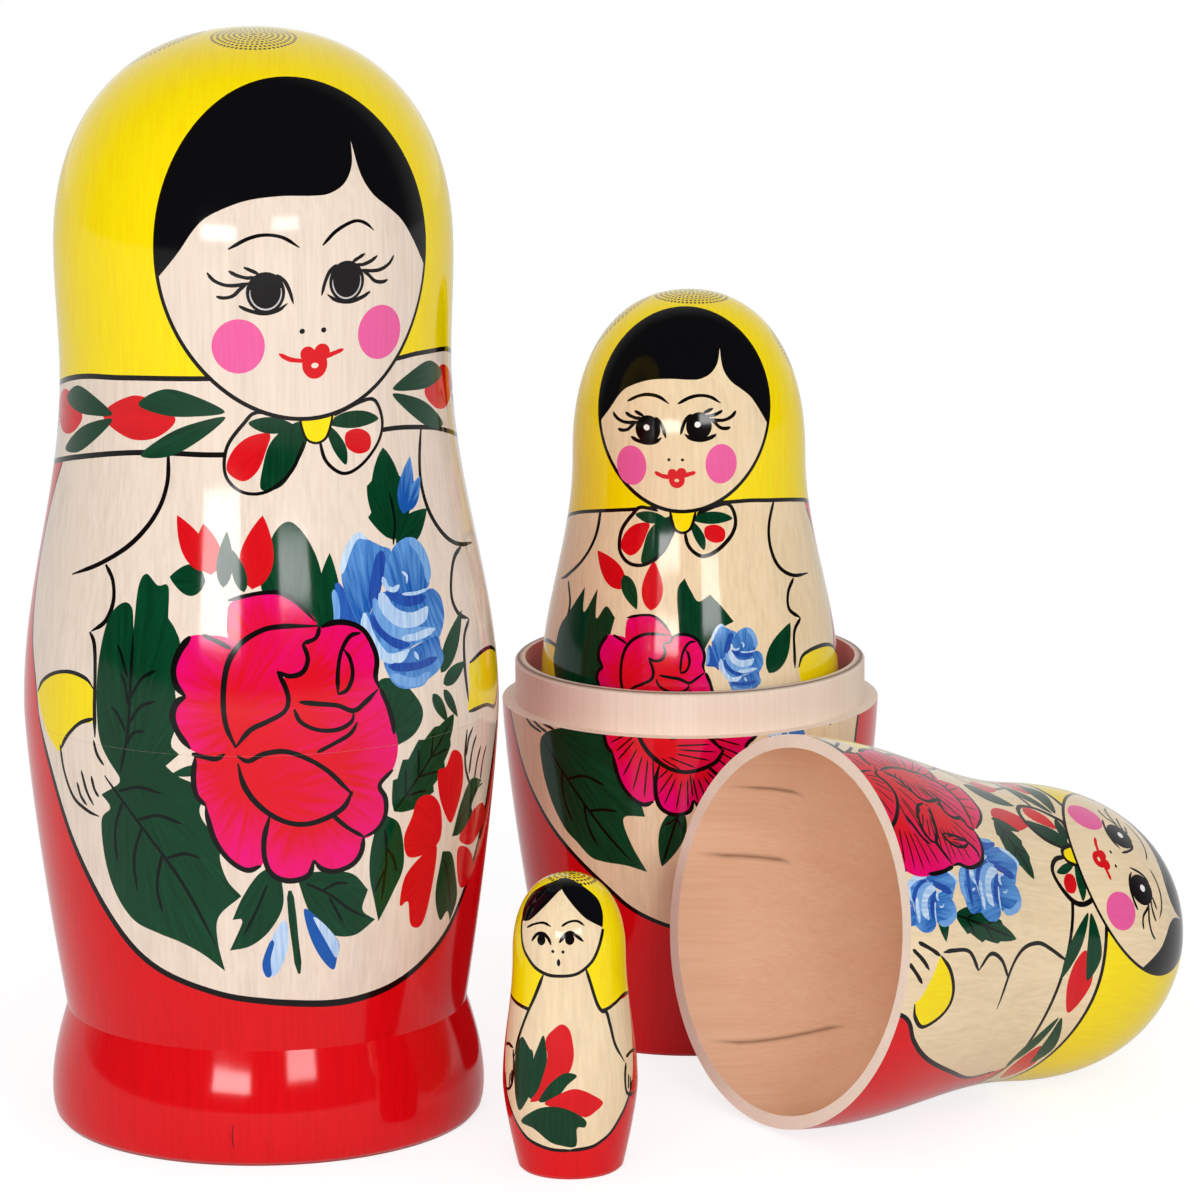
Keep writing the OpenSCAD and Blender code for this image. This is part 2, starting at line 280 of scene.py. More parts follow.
class Painting:
    """The shapes painted on one doll. A smaller doll can take a design stretched to its height."""

    def __init__(self, doll, wood, fine, stretch=1.0):
        self.wood = wood
        self.fine = fine
        self.stretch = stretch
        self.shapes = []
        self.wander = random.Random(7)
        outside = np.concatenate(doll.lower_side()[:-1])[::-1]
        outside = np.concatenate([outside, doll.upper_side(doll.seam_z)[1:]])
        steps = np.hypot(*np.diff(outside, axis=0).T)
        self.runs = np.concatenate([[0], np.cumsum(steps)])
        self.radii = outside[:, 0]
        self.heights = outside[:, 1]
        self.seam_run = float(np.interp(doll.seam_z, self.heights, self.runs))
        self.degree = math.degrees(1 / doll.seam_r)

    def radius(self, run):
        return np.maximum(np.interp(run, self.runs, self.radii), LEAST_RADIUS)

    def flat(self, points):
        """Points in degrees and heights of the design as degrees and runs up this doll's side."""
        points = np.asarray(points, float)
        runs = np.interp(points[:, 1] * self.stretch, self.heights, self.runs)
        return np.column_stack([points[:, 0], runs])

    def smooth(self, *lengths, closed=False):
        """A curve through the points of each length, with a corner where two lengths meet."""
        fine = np.array([self.fine * self.degree, self.fine])
        return np.concatenate([curve_through(self.flat(points), fine, closed) for points in lengths])

    def lay(self, outline, colour, root=None, reach=1.0, half=None):
        self.shapes.append(Shape(outline, colour, root, reach, half))

    def fill(self, *lengths, colour, root=None, reach=1.0):
        """Lays a shape inside a smooth outline, with corners where lengths meet."""
        root = None if root is None else self.flat([root])[0]
        self.lay(self.smooth(*lengths, closed=len(lengths) == 1), colour, root, reach * self.stretch)

    def all_above(self, points, colour):
        """Covers everything above a line that runs right round the doll."""
        ends = [(points[-1][0] - 360, points[-1][1])] + points
        ends += [(d + 360, z) for d, z in points[:2]]
        line = self.smooth(ends)
        line = line[(line[:, 0] >= points[0][0]) & (line[:, 0] < points[0][0] + 360)]
        self.lay(line, colour, half="top")
        return np.concatenate([line, line[:1] + (360, 0)])

    def ribbon(self, centre, width, colour=INK, thin=SOFT_ENDS):
        """Lays one brush stroke along a curve, thinner where the brush lands and lifts."""
        radii = self.radius(centre[:, 1])
        along = np.gradient(np.column_stack([np.radians(centre[:, 0]), centre[:, 1]]), axis=0)
        along[:, 0] *= radii
        along /= np.maximum(np.hypot(*along.T), 1e-9)[:, None]
        t = np.linspace(0, 1, len(centre))
        press = np.minimum(1, np.minimum(thin[0] + t / LANDING, thin[1] + (1 - t) / LIFTING))
        waver = 1 + WAVER * np.sin(t * WAVER_TURN + self.wander.uniform(0, 6))
        half = width * self.stretch / 2 * press * waver
        turn = np.degrees(-along[:, 1] * half / radii)
        rise = along[:, 0] * half
        one = np.column_stack([centre[:, 0] + turn, centre[:, 1] + rise])
        other = np.column_stack([centre[:, 0] - turn, centre[:, 1] - rise])
        self.lay(np.concatenate([one, other[::-1]]), colour)

    def line(self, *lengths, width, colour=INK, thin=SOFT_ENDS):
        for points in lengths:
            self.ribbon(self.smooth(points), width, colour, thin)

    def spot(self, degrees, z, scale=1.0, turn=0.0):
        """A way to draw in millimetres, right and up, about a point on the doll."""
        start = self.flat([(degrees, z)])[0]
        c = math.cos(math.radians(turn)) * scale * self.stretch
        s = math.sin(math.radians(turn)) * scale * self.stretch

        def place(points):
            u, v = np.asarray(points, float).T
            run = start[1] + u * s + v * c
            return np.column_stack([start[0] + np.degrees((u * c - v * s) / self.radius(run)), run])
        return place

    def overhead(self, x, y):
        """A way to draw in millimetres on the crown, as seen from straight above."""
        head = int(np.argmax(self.heights >= self.heights[-1] * HEAD_SHARE))

        def place(points):
            u, v = np.asarray(points, float).T
            px = (x + u) * self.stretch
            py = (y + v) * self.stretch
            run = np.interp(-np.hypot(px, py), -self.radii[head:], self.runs[head:])
            return np.column_stack([np.degrees(np.arctan2(px, -py)), run])
        return place

    def oval(self, place, u, v, ru, rv, colour, points=16):
        a = np.linspace(0, 2 * np.pi, points, endpoint=False)
        self.lay(place(np.column_stack([u + ru * np.cos(a), v + rv * np.sin(a)])), colour)

    def stroke(self, place, points, width, colour=INK, thin=SOFT_ENDS, fine=None):
        self.ribbon(place(curve_through(points, fine or self.fine)), width, colour, thin)

    def patch(self, place, points, colour, root=None, reach=1.0):
        """A filled outline drawn about a spot, with its root given there too."""
        root = None if root is None else place([root])[0]
        self.lay(place(curve_through(points, self.fine, True)), colour, root, reach * self.stretch)


# Motifs: the same few strokes serve every doll, smaller and plainer on the smaller ones.
# A leaf's outline, its teeth and its veins are in shares of its length and its width
LEAF_POINTS = 14
LEAF_LEAN = 0.75
LEAF_ROUND = 0.85
TOOTH_FOOT = 0.82
TOOTH_RISE = 0.24
TOOTH_HOOK = 1.3
RIB = (0.02, 0.3, 0.6, 0.92)
RIB_WIDTH = 0.4
VEIN_WIDTH = 0.35
VEIN_FIRST = 0.16
VEIN_SPAN = 0.6
VEIN_REACH = 0.36
VEIN_LEAD = 0.12
VEIN_BEND = (0.55, 0.1)
VEIN_RISE = 0.17


def leaf(art, base, tip, width, colour=GREEN, teeth=0, veins=0):
    """A leaf or petal from its stalk to its tip, with an even or a toothed edge."""
    a, b = art.flat([base, tip])
    across = math.radians(b[0] - a[0]) * float(art.radius((a[1] + b[1]) / 2)) / art.stretch
    upward = (b[1] - a[1]) / art.stretch
    length = math.hypot(across, upward)
    place = art.spot(base[0], base[1], 1.0, math.degrees(math.atan2(-across, upward)))
    t = np.linspace(0, 1, max(LEAF_POINTS, int(length / art.fine)))
    half = width / 2 * np.sin(np.pi * t ** LEAF_LEAN) ** LEAF_ROUND
    if teeth:
        half *= TOOTH_FOOT + TOOTH_RISE * np.mod(t * teeth, 1.0) ** TOOTH_HOOK
    edge = np.concatenate([np.column_stack([-half, t * length]), np.column_stack([half, t * length])[::-1]])
    art.lay(place(edge), colour, a, length * art.stretch)
    if veins:
        art.stroke(place, [(0, length * f) for f in RIB], RIB_WIDTH, VEIN)
    for i in range(veins):
        f = VEIN_FIRST + VEIN_SPAN * i / veins
        for way in (-1, 1):
            out = way * width * VEIN_REACH * math.sin(math.pi * (f + VEIN_LEAD) ** LEAF_LEAN)
            bend = (out * VEIN_BEND[0], length * (f + VEIN_BEND[1]))
            art.stroke(place, [(0, length * f), bend, (out, length * (f + VEIN_RISE))], VEIN_WIDTH, VEIN)


ROSE_MIDDLE = (8, 66)
ROSE_MM_PER_DEGREE = 0.612
ROSE_LINE = 0.86
ROSE_LINE_POWER = 0.8
ROSE_VEIN = (0.45, 0.7, 0.92)
ROSE_VEIN_WIDTH = 0.32
# Petals of the rose from the back to the front: outline, colour, the root its strokes run from, reach
ROSE_PETALS = [
    ([(-4, 79), (-4.5, 83), (-3, 85), (3, 86), (8, 86), (13, 84), (16.5, 81.5), (15, 79), (8, 79), (2, 78.5)],
     HOT_PINK, (6, 74), 13),
    ([(-13.5, 79.8), (-16.3, 78.5), (-18, 75.5), (-17.6, 72.7), (-15.5, 71), (-17.5, 70), (-18.7, 68),
      (-17, 65.3), (-14, 63.2), (-8, 62.5), (-2, 64), (-3, 70), (-2, 77), (-4, 79.5), (-9, 80)],
     HOT_PINK, (2, 69), 13.5),
    ([(16, 80.5), (23, 81.2), (27.5, 80.2), (30.6, 77.3), (31.6, 75), (31, 72.6), (32, 71), (29, 69),
      (22, 67), (12, 68), (8, 71), (10, 77)], HOT_PINK, (9, 70), 15),
    ([(25, 68.2), (28.5, 69.5), (32, 70.8), (34.2, 68), (35.3, 65.5), (36.6, 63.3), (36.6, 61), (35, 58.6),
      (31.5, 56.6), (33.2, 54), (33, 52), (31, 50), (27, 49), (20, 52), (10, 58), (8, 64), (16, 66)],
     HOT_PINK, (10, 61), 17),
    ([(-13.2, 62.3), (-13.6, 59), (-13, 56.6), (-10.7, 55), (-10.2, 53), (-8.5, 49.5), (-5, 46.5),
      (-1, 45.2), (2.5, 46), (6, 52), (4, 58), (0, 63), (-6, 63.2)], HOT_PINK, (2, 62), 15),
    ([(3.6, 54), (2.9, 50), (3.2, 46.8), (5, 44.5), (9, 43.4), (13, 43.9), (14.7, 46.2), (16.5, 45),
      (20, 44.4), (24.2, 45), (26.7, 47), (27, 49.2), (20, 54), (12, 54)], HOT_PINK, (13, 56), 11),
    ([(-3.5, 63.6), (-5.6, 67), (-6.1, 71), (-5, 75.5), (-2, 78.6), (3, 80.6), (8, 81.2), (13, 81.2),
      (16.8, 80.8), (16, 79.3), (13.2, 78.6), (14, 76.3), (12.6, 74.4), (9.5, 73.9), (7, 74.7), (8.9, 72),
      (9, 70), (7, 68.3), (3, 67.2), (0, 66.2)], DEEP_RED, (-5, 68), 11),
    ([(-3.4, 63.6), (0, 66.2), (5, 67.6), (9, 69.6), (14, 68), (22, 66.5), (26, 66.2), (22, 63), (15, 62),
      (6, 63), (0, 61.8)], DEEP_RED, (-3, 62), 18),
    ([(10.4, 69), (12, 67.3), (16, 66), (21, 65.8), (24.5, 66.8), (25, 68.3), (21, 69.3), (16, 69.9),
      (11.5, 70.2)], DEEP_RED, (10, 69), 9),
    ([(21.2, 70.9), (21.3, 74), (22.3, 77), (24.4, 76), (25, 73.6), (23.6, 71.6)], HOT_PINK, (23, 70), 7),
    ([(-2.9, 61.6), (0.5, 61.9), (4, 62.9), (8, 63), (13, 62), (18, 60), (22, 57.5), (24.3, 55.8),
      (22, 54), (17, 52.5), (12, 52), (7, 52.8), (2, 55), (-1.5, 58)], DEEP_RED, (-1, 57), 16),
]
# Black outlines of the rose: points and width
ROSE_LINES = [
    ([(-13.6, 79.7), (-16.3, 77.6), (-18, 75), (-17.5, 72.6), (-15.2, 71)], 1.15),
    ([(-15.2, 71), (-17.5, 70), (-18.6, 68), (-17.2, 65.6), (-14.3, 63.4)], 1.15),
    ([(-10.6, 80), (-7, 79.1), (-3.8, 78.1)], 0.8),
    ([(-4.2, 85), (0, 85.7), (4, 86.1), (8, 86), (12, 84.5), (16.3, 81.6)], 0.75),
    ([(-3.5, 63.9), (-5.6, 67), (-6.1, 71), (-5, 75.5), (-2, 78.6), (3, 80.6), (8, 81.2), (16.7, 81)], 0.95),
    ([(17.2, 80.9), (16.2, 79.3), (13, 78.6)], 0.75),
    ([(13, 78.6), (14.1, 76.4), (12.8, 74.5), (9.6, 74), (6.8, 74.8)], 0.85),
    ([(6.8, 74.8), (8.6, 72.4), (9.2, 70.4), (8, 68.8), (4, 67.5), (0, 66.3), (-3.6, 63.7)], 0.85),
    ([(17.5, 80.8), (21, 81.3), (25, 80.9), (28.4, 79.6), (30.8, 77), (31.5, 75), (31, 72.8),
      (32, 71)], 0.95),
    ([(27.4, 79.4), (24.6, 79.1), (22.3, 77), (21.3, 74), (21.2, 70.9)], 0.75),
    ([(21.2, 70.9), (23.6, 71.5), (25, 73.5), (24.5, 75.8), (23, 77.3)], 0.75),
    ([(11.8, 70.2), (16, 69.8), (21, 69.3), (25, 68.3), (28.2, 69.4), (31.6, 71)], 0.85),
    ([(10.5, 69.2), (12, 67.3), (16, 66), (21, 65.8), (24.5, 66.8), (25, 68.3)], 0.75),
    ([(15.8, 62.7), (20, 63.8), (24, 65), (26, 66.6)], 0.75),
    ([(-3.2, 62.6), (-0.5, 61.8), (3, 62.8), (8, 63.1), (13, 62), (18, 60), (22, 57.5), (24.5, 55.8)], 0.85),
    ([(24.4, 56.4), (22, 54), (17, 52.5), (12, 52), (7, 52.8), (2, 55), (-1.5, 58), (-3, 61.5)], 0.95),
    ([(32.2, 71), (34.2, 68.3), (35.4, 65.8), (35.7, 64)], 0.95),
    ([(35.3, 58.8), (31.6, 56.8), (33.2, 54.6), (33.1, 52), (30.8, 50), (27.3, 49.2)], 0.9),
    ([(19, 53.3), (23, 51), (27.3, 49.2)], 0.75),
    ([(27.3, 49.2), (26.6, 46.8), (24.2, 45.1), (20, 44.4), (16.6, 45), (14.8, 46.4)], 0.95),
    ([(14.8, 46.4), (13.4, 44.1), (9, 43.4), (5, 44.4), (3.2, 46.7), (3, 50), (4.4, 53.6)], 0.95),
    ([(2.2, 45.9), (-1, 45.2), (-5, 46.6), (-8.5, 49.5), (-10.3, 53), (-10.8, 55)], 0.95),
    ([(-10.8, 55), (-13, 56.5), (-13.7, 59), (-13.1, 62.4)], 0.95),
    ([(-14, 62.7), (-11, 62.3), (-8, 62.1), (-6, 62.9)], 0.85),
]


def rose(art, degrees, z, scale, veined=False):
    """The big rose of the bouquet, with dark veins in its petals or without."""
    place = art.spot(degrees, z, scale)

    def in_mm(points):
        return [((d - ROSE_MIDDLE[0]) * ROSE_MM_PER_DEGREE, h - ROSE_MIDDLE[1]) for d, h in points]

    for outline, colour, root, reach in ROSE_PETALS:
        heart = in_mm([root])[0]
        art.patch(place, in_mm(outline), colour, heart, reach * scale)
        for u, v in in_mm(outline) if veined else []:
            spoke = [(heart[0] + (u - heart[0]) * f, heart[1] + (v - heart[1]) * f) for f in ROSE_VEIN]
            art.stroke(place, spoke, ROSE_VEIN_WIDTH * scale, INK, FINE_ENDS)
    for points, width in ROSE_LINES:
        art.stroke(place, in_mm(points), width * ROSE_LINE * scale ** ROSE_LINE_POWER)


# Petals of the blue rose in millimetres about its heart: outline, colour, root, reach
BLUE_PETALS = [
    ([(-11.3, 2), (-10.1, 1.3), (-8.3, -5.2), (-8.5, -6.2), (-9.7, -5.2), (-12.4, -4.7), (-12, -2.6),
      (-11.4, 0)],
     DEEP_BLUE, (-10, -14), 16),
    ([(-6.5, 8.8), (-5.15, 7.9), (-3.1, 6.7), (-1.4, 5.6), (-3.7, 2.5), (-4.7, 0.65), (-5.15, -0.7),
      (-6.5, -2.8), (-7.5, -3.5), (-8.1, -5.2), (-8.85, -3.5), (-10.1, 1.3), (-10, 3.75), (-9.2, 5.65),
      (-7.9, 7.7)],
     SKY, (-6, -12), 20),
    ([(-7.3, -2.4), (-8, -5.3), (-7.2, -7), (-6, -8.8), (-5.15, -10), (-3.5, -10.6), (-1.5, -9.5),
      (0.5, -8.4), (3.7, -8.1), (5.5, -8.3), (6.8, -7), (7.7, -5), (7.4, -2.5), (6, -1), (4.5, -0.8), (0, 0),
      (-4, 0), (-5.2, -0.7), (-6.4, -2.8)], SKY, (0, 10), 20),
    ([(-5.15, -10), (-3.5, -10.2), (-0.5, -8.85), (5.2, -7.8), (6, -9.5), (6.4, -11.25), (5, -12.8),
      (2.75, -13.7), (1.3, -14.5), (-1.85, -14.4), (-3.7, -13.5), (-4.7, -11.8)], SKY, (1, 0), 16),
    ([(-1.4, 5.6), (0, 6.7), (2.25, 7.2), (4, 6), (5.2, 4.3), (5.65, 2.1), (5, -0.4), (2.5, -0.9),
      (-0.5, -0.4), (-1.85, 0), (-3.1, 0.65), (-3.7, 1.7), (-3.3, 3)], SKY, (1, -10), 18),
]
# Loaded strokes of the blue rose: points, width, colour
BLUE_STROKES = [
    ([(-11.6, 1.2), (-11.6, -1.8), (-12.1, -4.4)], 1.0, PALE_BLUE),
    ([(-10, 3.4), (-9.2, 5.5), (-7.8, 7.7), (-6.5, 8.6), (-5.2, 7.9)], 1.0, WHITE_BLUE),
    ([(-3, 5.9), (-4.4, 2.5), (-6, -2)], 2.0, DEEP_BLUE),
    ([(-7.4, -2.6), (-7.3, -5.2), (-6.1, -7.8), (-4.5, -9.5), (-2.25, -9.7), (-0.5, -8.8)], 1.6, WHITE_BLUE),
    ([(-6.3, -3.1), (-5.15, -5.2), (-3.5, -6.9), (-1.85, -7.8), (-0.3, -8.2)], 1.6, DEEP_BLUE),
    ([(-5.5, -0.7), (-4.5, -3.9), (-2.5, -5.9), (0.2, -6.75), (3.7, -6.4)], 1.8, PALE_BLUE),
    ([(-4.3, 0), (-3.5, -2.4), (-1.85, -4), (0.4, -4.7), (2.75, -4.4), (4.2, -3.3)], 2.2, WHITE_BLUE),
    ([(-3.3, 0.1), (-1.85, -0.9), (0.4, -1.8), (4, -1.9)], 1.7, DEEP_BLUE),
    ([(-1.6, -7.1), (1.3, -7.2), (5.2, -6.7)], 1.1, WHITE_BLUE),
    ([(-4.5, -10.7), (-1.85, -11.25), (1.3, -11.4), (5, -10.9)], 1.2, DEEP_BLUE),
    ([(-4.1, -12.1), (-1.85, -13.3), (0.8, -13.7), (3.25, -12.8)], 1.4, PALE_BLUE),
    ([(0.5, -9.3), (1.1, -10.6)], 0.6, WHITE_BLUE),
    ([(2.25, 7), (4.2, 5.1), (5.2, 2.5), (5, 0)], 1.6, PALE_BLUE),
    ([(-3.5, 2.2), (-3.1, 0.65), (-1.85, 0.1), (-0.75, 0.65)], 0.8, WHITE_BLUE),
    ([(0, 2.5), (0.85, 1.7), (0.6, 0.65)], 0.45, WHITE_BLUE),
    ([(-0.5, -0.75), (2.25, -1), (5, -0.75)], 0.5, WHITE_BLUE),
]


def blue_rose(art, degrees, z, scale):
    """A rose of loaded strokes, blue over white, without outlines."""
    place = art.spot(degrees, z, scale)
    for outline, colour, root, reach in BLUE_PETALS:
        art.patch(place, outline, colour, root, reach * scale)
    for points, width, colour in BLUE_STROKES:
        art.stroke(place, points, width * scale, colour, LOADED_ENDS)


# Dots of an ornament, in shares of the step from ring to ring
DOT_FIRST = 0.45
DOT_STEP = 0.85
DOT_SIZE = 0.36
DOT_CORNERS = 5


def ornament(art, place, rings, pitch, colour=DOT_BROWN):
    """Rings of small dots round one point."""
    dot = pitch * DOT_SIZE
    for ring in range(rings):
        radius = pitch * (ring + DOT_FIRST)
        count = max(4, int(2 * math.pi * radius / (pitch * DOT_STEP)))
        for i in range(count):
            a = 2 * math.pi * i / count
            art.oval(place, radius * math.cos(a), radius * math.sin(a), dot, dot, colour, DOT_CORNERS)


# Lashes of the left eye, as shares of its half width and half height
LASHES = [
    [(-2.84, 0.97), (-2.56, 0.62), (-2.0, 0.38), (-1.35, 0.38), (-0.8, 0.5)],
    [(-1.82, 1.07), (-1.45, 0.86), (-0.89, 0.72), (-0.52, 0.79)],
    [(-1.08, 1.24), (-0.7, 1.07), (-0.3, 0.9)],
    [(-2.43, -0.17), (-2.1, -0.24), (-1.63, -0.14), (-1.26, 0.2), (-0.89, 0.45)],
    [(0.55, 0.86), (0.95, 0.55), (1.22, 0.05), (1.42, -0.6)],
]
EYE_RIM = [(-1.35, -0.62), (-0.89, -0.84), (-0.15, -1.0), (0.59, -0.88), (1.11, -0.55)]
BROW = [(-0.25, -0.065), (-0.12, -0.005), (0.0, 0.018), (0.13, 0.0), (0.25, -0.065)]
BROW_RAISED = [(-0.18, -0.06), (-0.07, 0.02), (0.07, 0.067), (0.16, 0.05), (0.23, 0.0)]
HAIRLINE = [(-0.985, -0.14), (-0.86, 0.015), (-0.75, 0.16), (-0.64, 0.245), (-0.41, 0.325), (-0.16, 0.35),
            (0.09, 0.343), (0.21, 0.35), (0.33, 0.4), (0.405, 0.5), (0.425, 0.635)]
HAIRLINE_RIGHT = [(0.425, 0.635), (0.45, 0.5), (0.49, 0.4), (0.567, 0.308), (0.686, 0.224), (0.794, 0.135),
                  (0.895, -0.006), (0.985, -0.16)]
HAIR_SPAN = (-0.16, math.pi + 0.14)
EYE_X = 0.3
EYE_TILT = 0.02
EYE_TALL = 1.08
EYE_RING = (0.8, 0.82)
EYE_RING_SPAN = (170, 375)
EYE_RING_ENDS = (0.3, 0.3)
EYE_LIGHT = (0.1, 0.12)
EYE_LIGHT_R = (0.24, 0.22)
CHEEK_AT = (0.527, -0.53)
CHEEK_TILT = 0.015
CHEEK_R = 0.18
NOSTRIL_AT = (0.08, -0.464)
NOSTRIL_R = (0.021, 0.017)
LIP_X = 0.012
LIP_Y = -0.648
# The lips about their middle: the strokes at their corners, the red ovals and the bare one between them
LIP_CORNERS = ([(-0.26, 0.052), (-0.18, 0.015), (-0.06, 0)], [(0.22, 0.055), (0.14, 0.035), (0.05, 0.01)])
LIP_OVALS = ((-0.052, 0.042, 0.056, 0.048, 16), (0.055, 0.05, 0.06, 0.052, 16), (0, -0.022, 0.095, 0.09, 22))
LIP_GAP = (-0.03, 0.028, 0.017)
# Widths of the face's lines, as shares of its outline's
RIM_LINE = 0.78
EYE_LINE = 0.8
EYE_RING_LINE = 0.3
LASH_LINE = 0.72
BROW_LINE = 0.7
LIP_LINE = 0.9
FACE_ENDS = (0.4, 0.25)
FACE_LEAN = 0.985
RIM_RUN = 6.3
HAIR_RUN = 3.5


def face(art, degrees, z, half_w, half_h, shift, low_shift, eye_y, brow_y, line, eye_rx, cheek, ringed_eyes):
    """The round face in the scarf: skin of bare wood, black hair with a parting, eyes, cheeks, lips.
    It is drawn as seen from its front, in shares of its half width and half height."""
    def seen(points):
        x, y = np.asarray(points, float).T
        run = np.interp((z + y * half_h) * art.stretch, art.heights, art.runs)
        lean = np.clip(x * half_w * art.stretch / art.radius(run), -FACE_LEAN, FACE_LEAN)
        return np.column_stack([degrees + np.degrees(np.arcsin(lean)), run])

    step = art.fine / half_w / art.stretch

    def draw(points, share, colour=INK):
        art.stroke(seen, points, line * share, colour, FACE_ENDS, step)

    turn = np.linspace(0, 2 * np.pi, int(RIM_RUN / step), endpoint=False)
    rim = np.column_stack([np.cos(turn), np.sin(turn)])
    art.lay(seen(rim), art.wood)
    hair = [curve_through(HAIRLINE, step), curve_through(HAIRLINE_RIGHT, step)[1:]]
    over = np.linspace(*HAIR_SPAN, int(HAIR_RUN / step))
    hair.append(np.column_stack([np.cos(over), np.sin(over)]))
    art.lay(seen(np.concatenate(hair)), HAIR)
    art.ribbon(seen(np.concatenate([rim, rim[:2]])), line * RIM_LINE, INK, EVEN_ENDS)
    eye_ry = eye_rx * half_w / half_h * EYE_TALL
    cheek_ry = CHEEK_R * cheek * half_w / half_h
    for way in (-1, 1):
        x = way * EYE_X + shift
        y = eye_y + EYE_TILT * way
        brow = BROW_RAISED if ringed_eyes and way > 0 else BROW
        art.oval(seen, x, y, eye_rx, eye_ry, INK, 28)
        draw([(x - way * u * eye_rx, y + v * eye_ry) for u, v in EYE_RIM], EYE_LINE)
        if ringed_eyes:
            b = np.radians(np.linspace(*EYE_RING_SPAN, 18))
            ring = np.column_stack([x + EYE_RING[0] * eye_rx * np.cos(b),
                                    y + EYE_RING[1] * eye_ry * np.sin(b)])
            art.ribbon(seen(ring), line * EYE_RING_LINE, PALE_GREY, EYE_RING_ENDS)
        else:
            art.oval(seen, x - EYE_LIGHT[0] * eye_rx, y + EYE_LIGHT[1] * eye_ry,
                     eye_rx * EYE_LIGHT_R[0], eye_ry * EYE_LIGHT_R[1], WHITE, 10)
        for points in LASHES:
            draw([(x - way * u * eye_rx, y + v * eye_ry) for u, v in points], LASH_LINE)
        draw([(x + u, brow_y + v) for u, v in brow], BROW_LINE)
        art.oval(seen, way * CHEEK_AT[0] + low_shift, CHEEK_AT[1] + CHEEK_TILT * way, CHEEK_R, cheek_ry,
                 CHEEK, 36)
        art.oval(seen, way * NOSTRIL_AT[0] + low_shift, NOSTRIL_AT[1], *NOSTRIL_R, INK, 8)
    x = low_shift + LIP_X
    for corner in LIP_CORNERS:
        draw([(x + u, LIP_Y + v) for u, v in corner], LIP_LINE, LIP_RED)
    for u, v, ru, rv, points in LIP_OVALS:
        art.oval(seen, x + u, LIP_Y + v, ru, rv, LIP_RED, points)
    art.oval(seen, x, LIP_Y + LIP_GAP[0], LIP_GAP[1], LIP_GAP[2], art.wood, 10)


BOW_LEFT = [(-1.8, -1.6), (-4, -5.8), (-7.6, -8.5), (-11.2, -8.5), (-13.4, -6.1), (-13, -2.1), (-10.4, 1.4),
            (-8.6, 2.9), (-5, 2.4)]
BOW_RIGHT = [(0.4, -1.2), (1.3, -4.6), (3.9, -6.6), (7, -5.6), (10.1, -2.6), (10.9, 0.4), (9.6, 3.4),
             (7, 3.4), (2.6, 1.8)]
BOW_ENDS = (0.6, 0.6)
KNOT_ENDS = (0.5, 0.5)
KNOT_LINE = 0.75


def bow(art, degrees, z, scale, line):
    """The scarf's tied ends under the chin, each with a red bud and two leaves."""
    place = art.spot(degrees, z, scale)
    for loop in ([(-3, -0.5), (3, -0.5), (3, -4), (-3, -4)], BOW_LEFT, BOW_RIGHT):
        art.patch(place, loop, art.wood)
    art.patch(place, [(-13.2, -5.4), (-12.2, -2.6), (-9.8, -0.6), (-6.8, -0.2), (-7.4, -2.6), (-8.8, -5.6),
                      (-11, -7)], BUD_RED, (-6.6, 0), 7 * scale)
    art.patch(place, [(-9.8, 1.4), (-7.4, 2.2), (-4.8, 1.8), (-2.8, 0.4), (-5.2, -0.2), (-7.8, 0)], GREEN)
    art.patch(place, [(-8.4, -8.2), (-8, -5), (-6.8, -1.6), (-4.4, 0.6), (-1.6, 1.4), (-1.4, -1.4),
                      (-3.2, -5), (-5.6, -7.9)], GREEN)
    art.patch(place, [(4.6, -0.8), (6.8, -0.4), (8.6, -1.6), (8.4, -3.6), (6.4, -4), (4.6, -2.8)], BUD_RED,
              (4, -1), 5 * scale)
    art.patch(place, [(1.8, 0.9), (4.6, 2.2), (8, 2), (10.2, 0.6), (7, -0.2), (4, 0)], GREEN)
    art.patch(place, [(1.6, 0.6), (3.2, -0.6), (4.6, -3), (4.4, -5.4), (2.8, -3.6), (1.8, -1.2)], GREEN)
    for loop in (BOW_LEFT, BOW_RIGHT):
        art.stroke(place, loop, line, INK, BOW_ENDS)
    knot = [(-2.5, 2.6), (-2.1, 0.4), (-1.4, -1.3), (0, -1.9), (1.4, -1.3), (2.2, 0.4), (2.7, 2.6)]
    art.patch(place, knot, SCARF)
    art.stroke(place, knot, line * KNOT_LINE, INK, KNOT_ENDS)


def garland(art, stalks, way, scale, tilt):
    """Red buds, each between two leaves, one after another along the scarf's border."""
    for degrees, z in stalks:
        place = art.spot(degrees, z, scale, -way * tilt)
        sets = [([(7.5, -0.4), (10, 2), (14.5, 3.2), (20.8, 0.3), (16, -2.9), (11, -2.9)], BUD_RED),
                ([(0, 0.4), (4.5, 3.1), (9, 4.1), (13.5, 2), (9.5, 0.4), (5, 0)], GREEN),
                ([(0, -0.4), (4.5, -0.9), (9, -2.4), (13.8, -5.4), (9, -5.6), (4, -3.4)], GREEN)]
        for outline, colour in sets:
            art.patch(place, [(way * u, v) for u, v in outline], colour, (0, 0), 14 * scale)


def dress_front(art, left, right):
    """The blouse and apron of bare wood, left open in the front of the red dress."""
    over = [(d, right[-1][1]) for d in np.linspace(right[-1][0], left[0][0], 20)]
    art.lay(np.concatenate([art.smooth(left), art.smooth(right), art.smooth(over)]), art.wood)


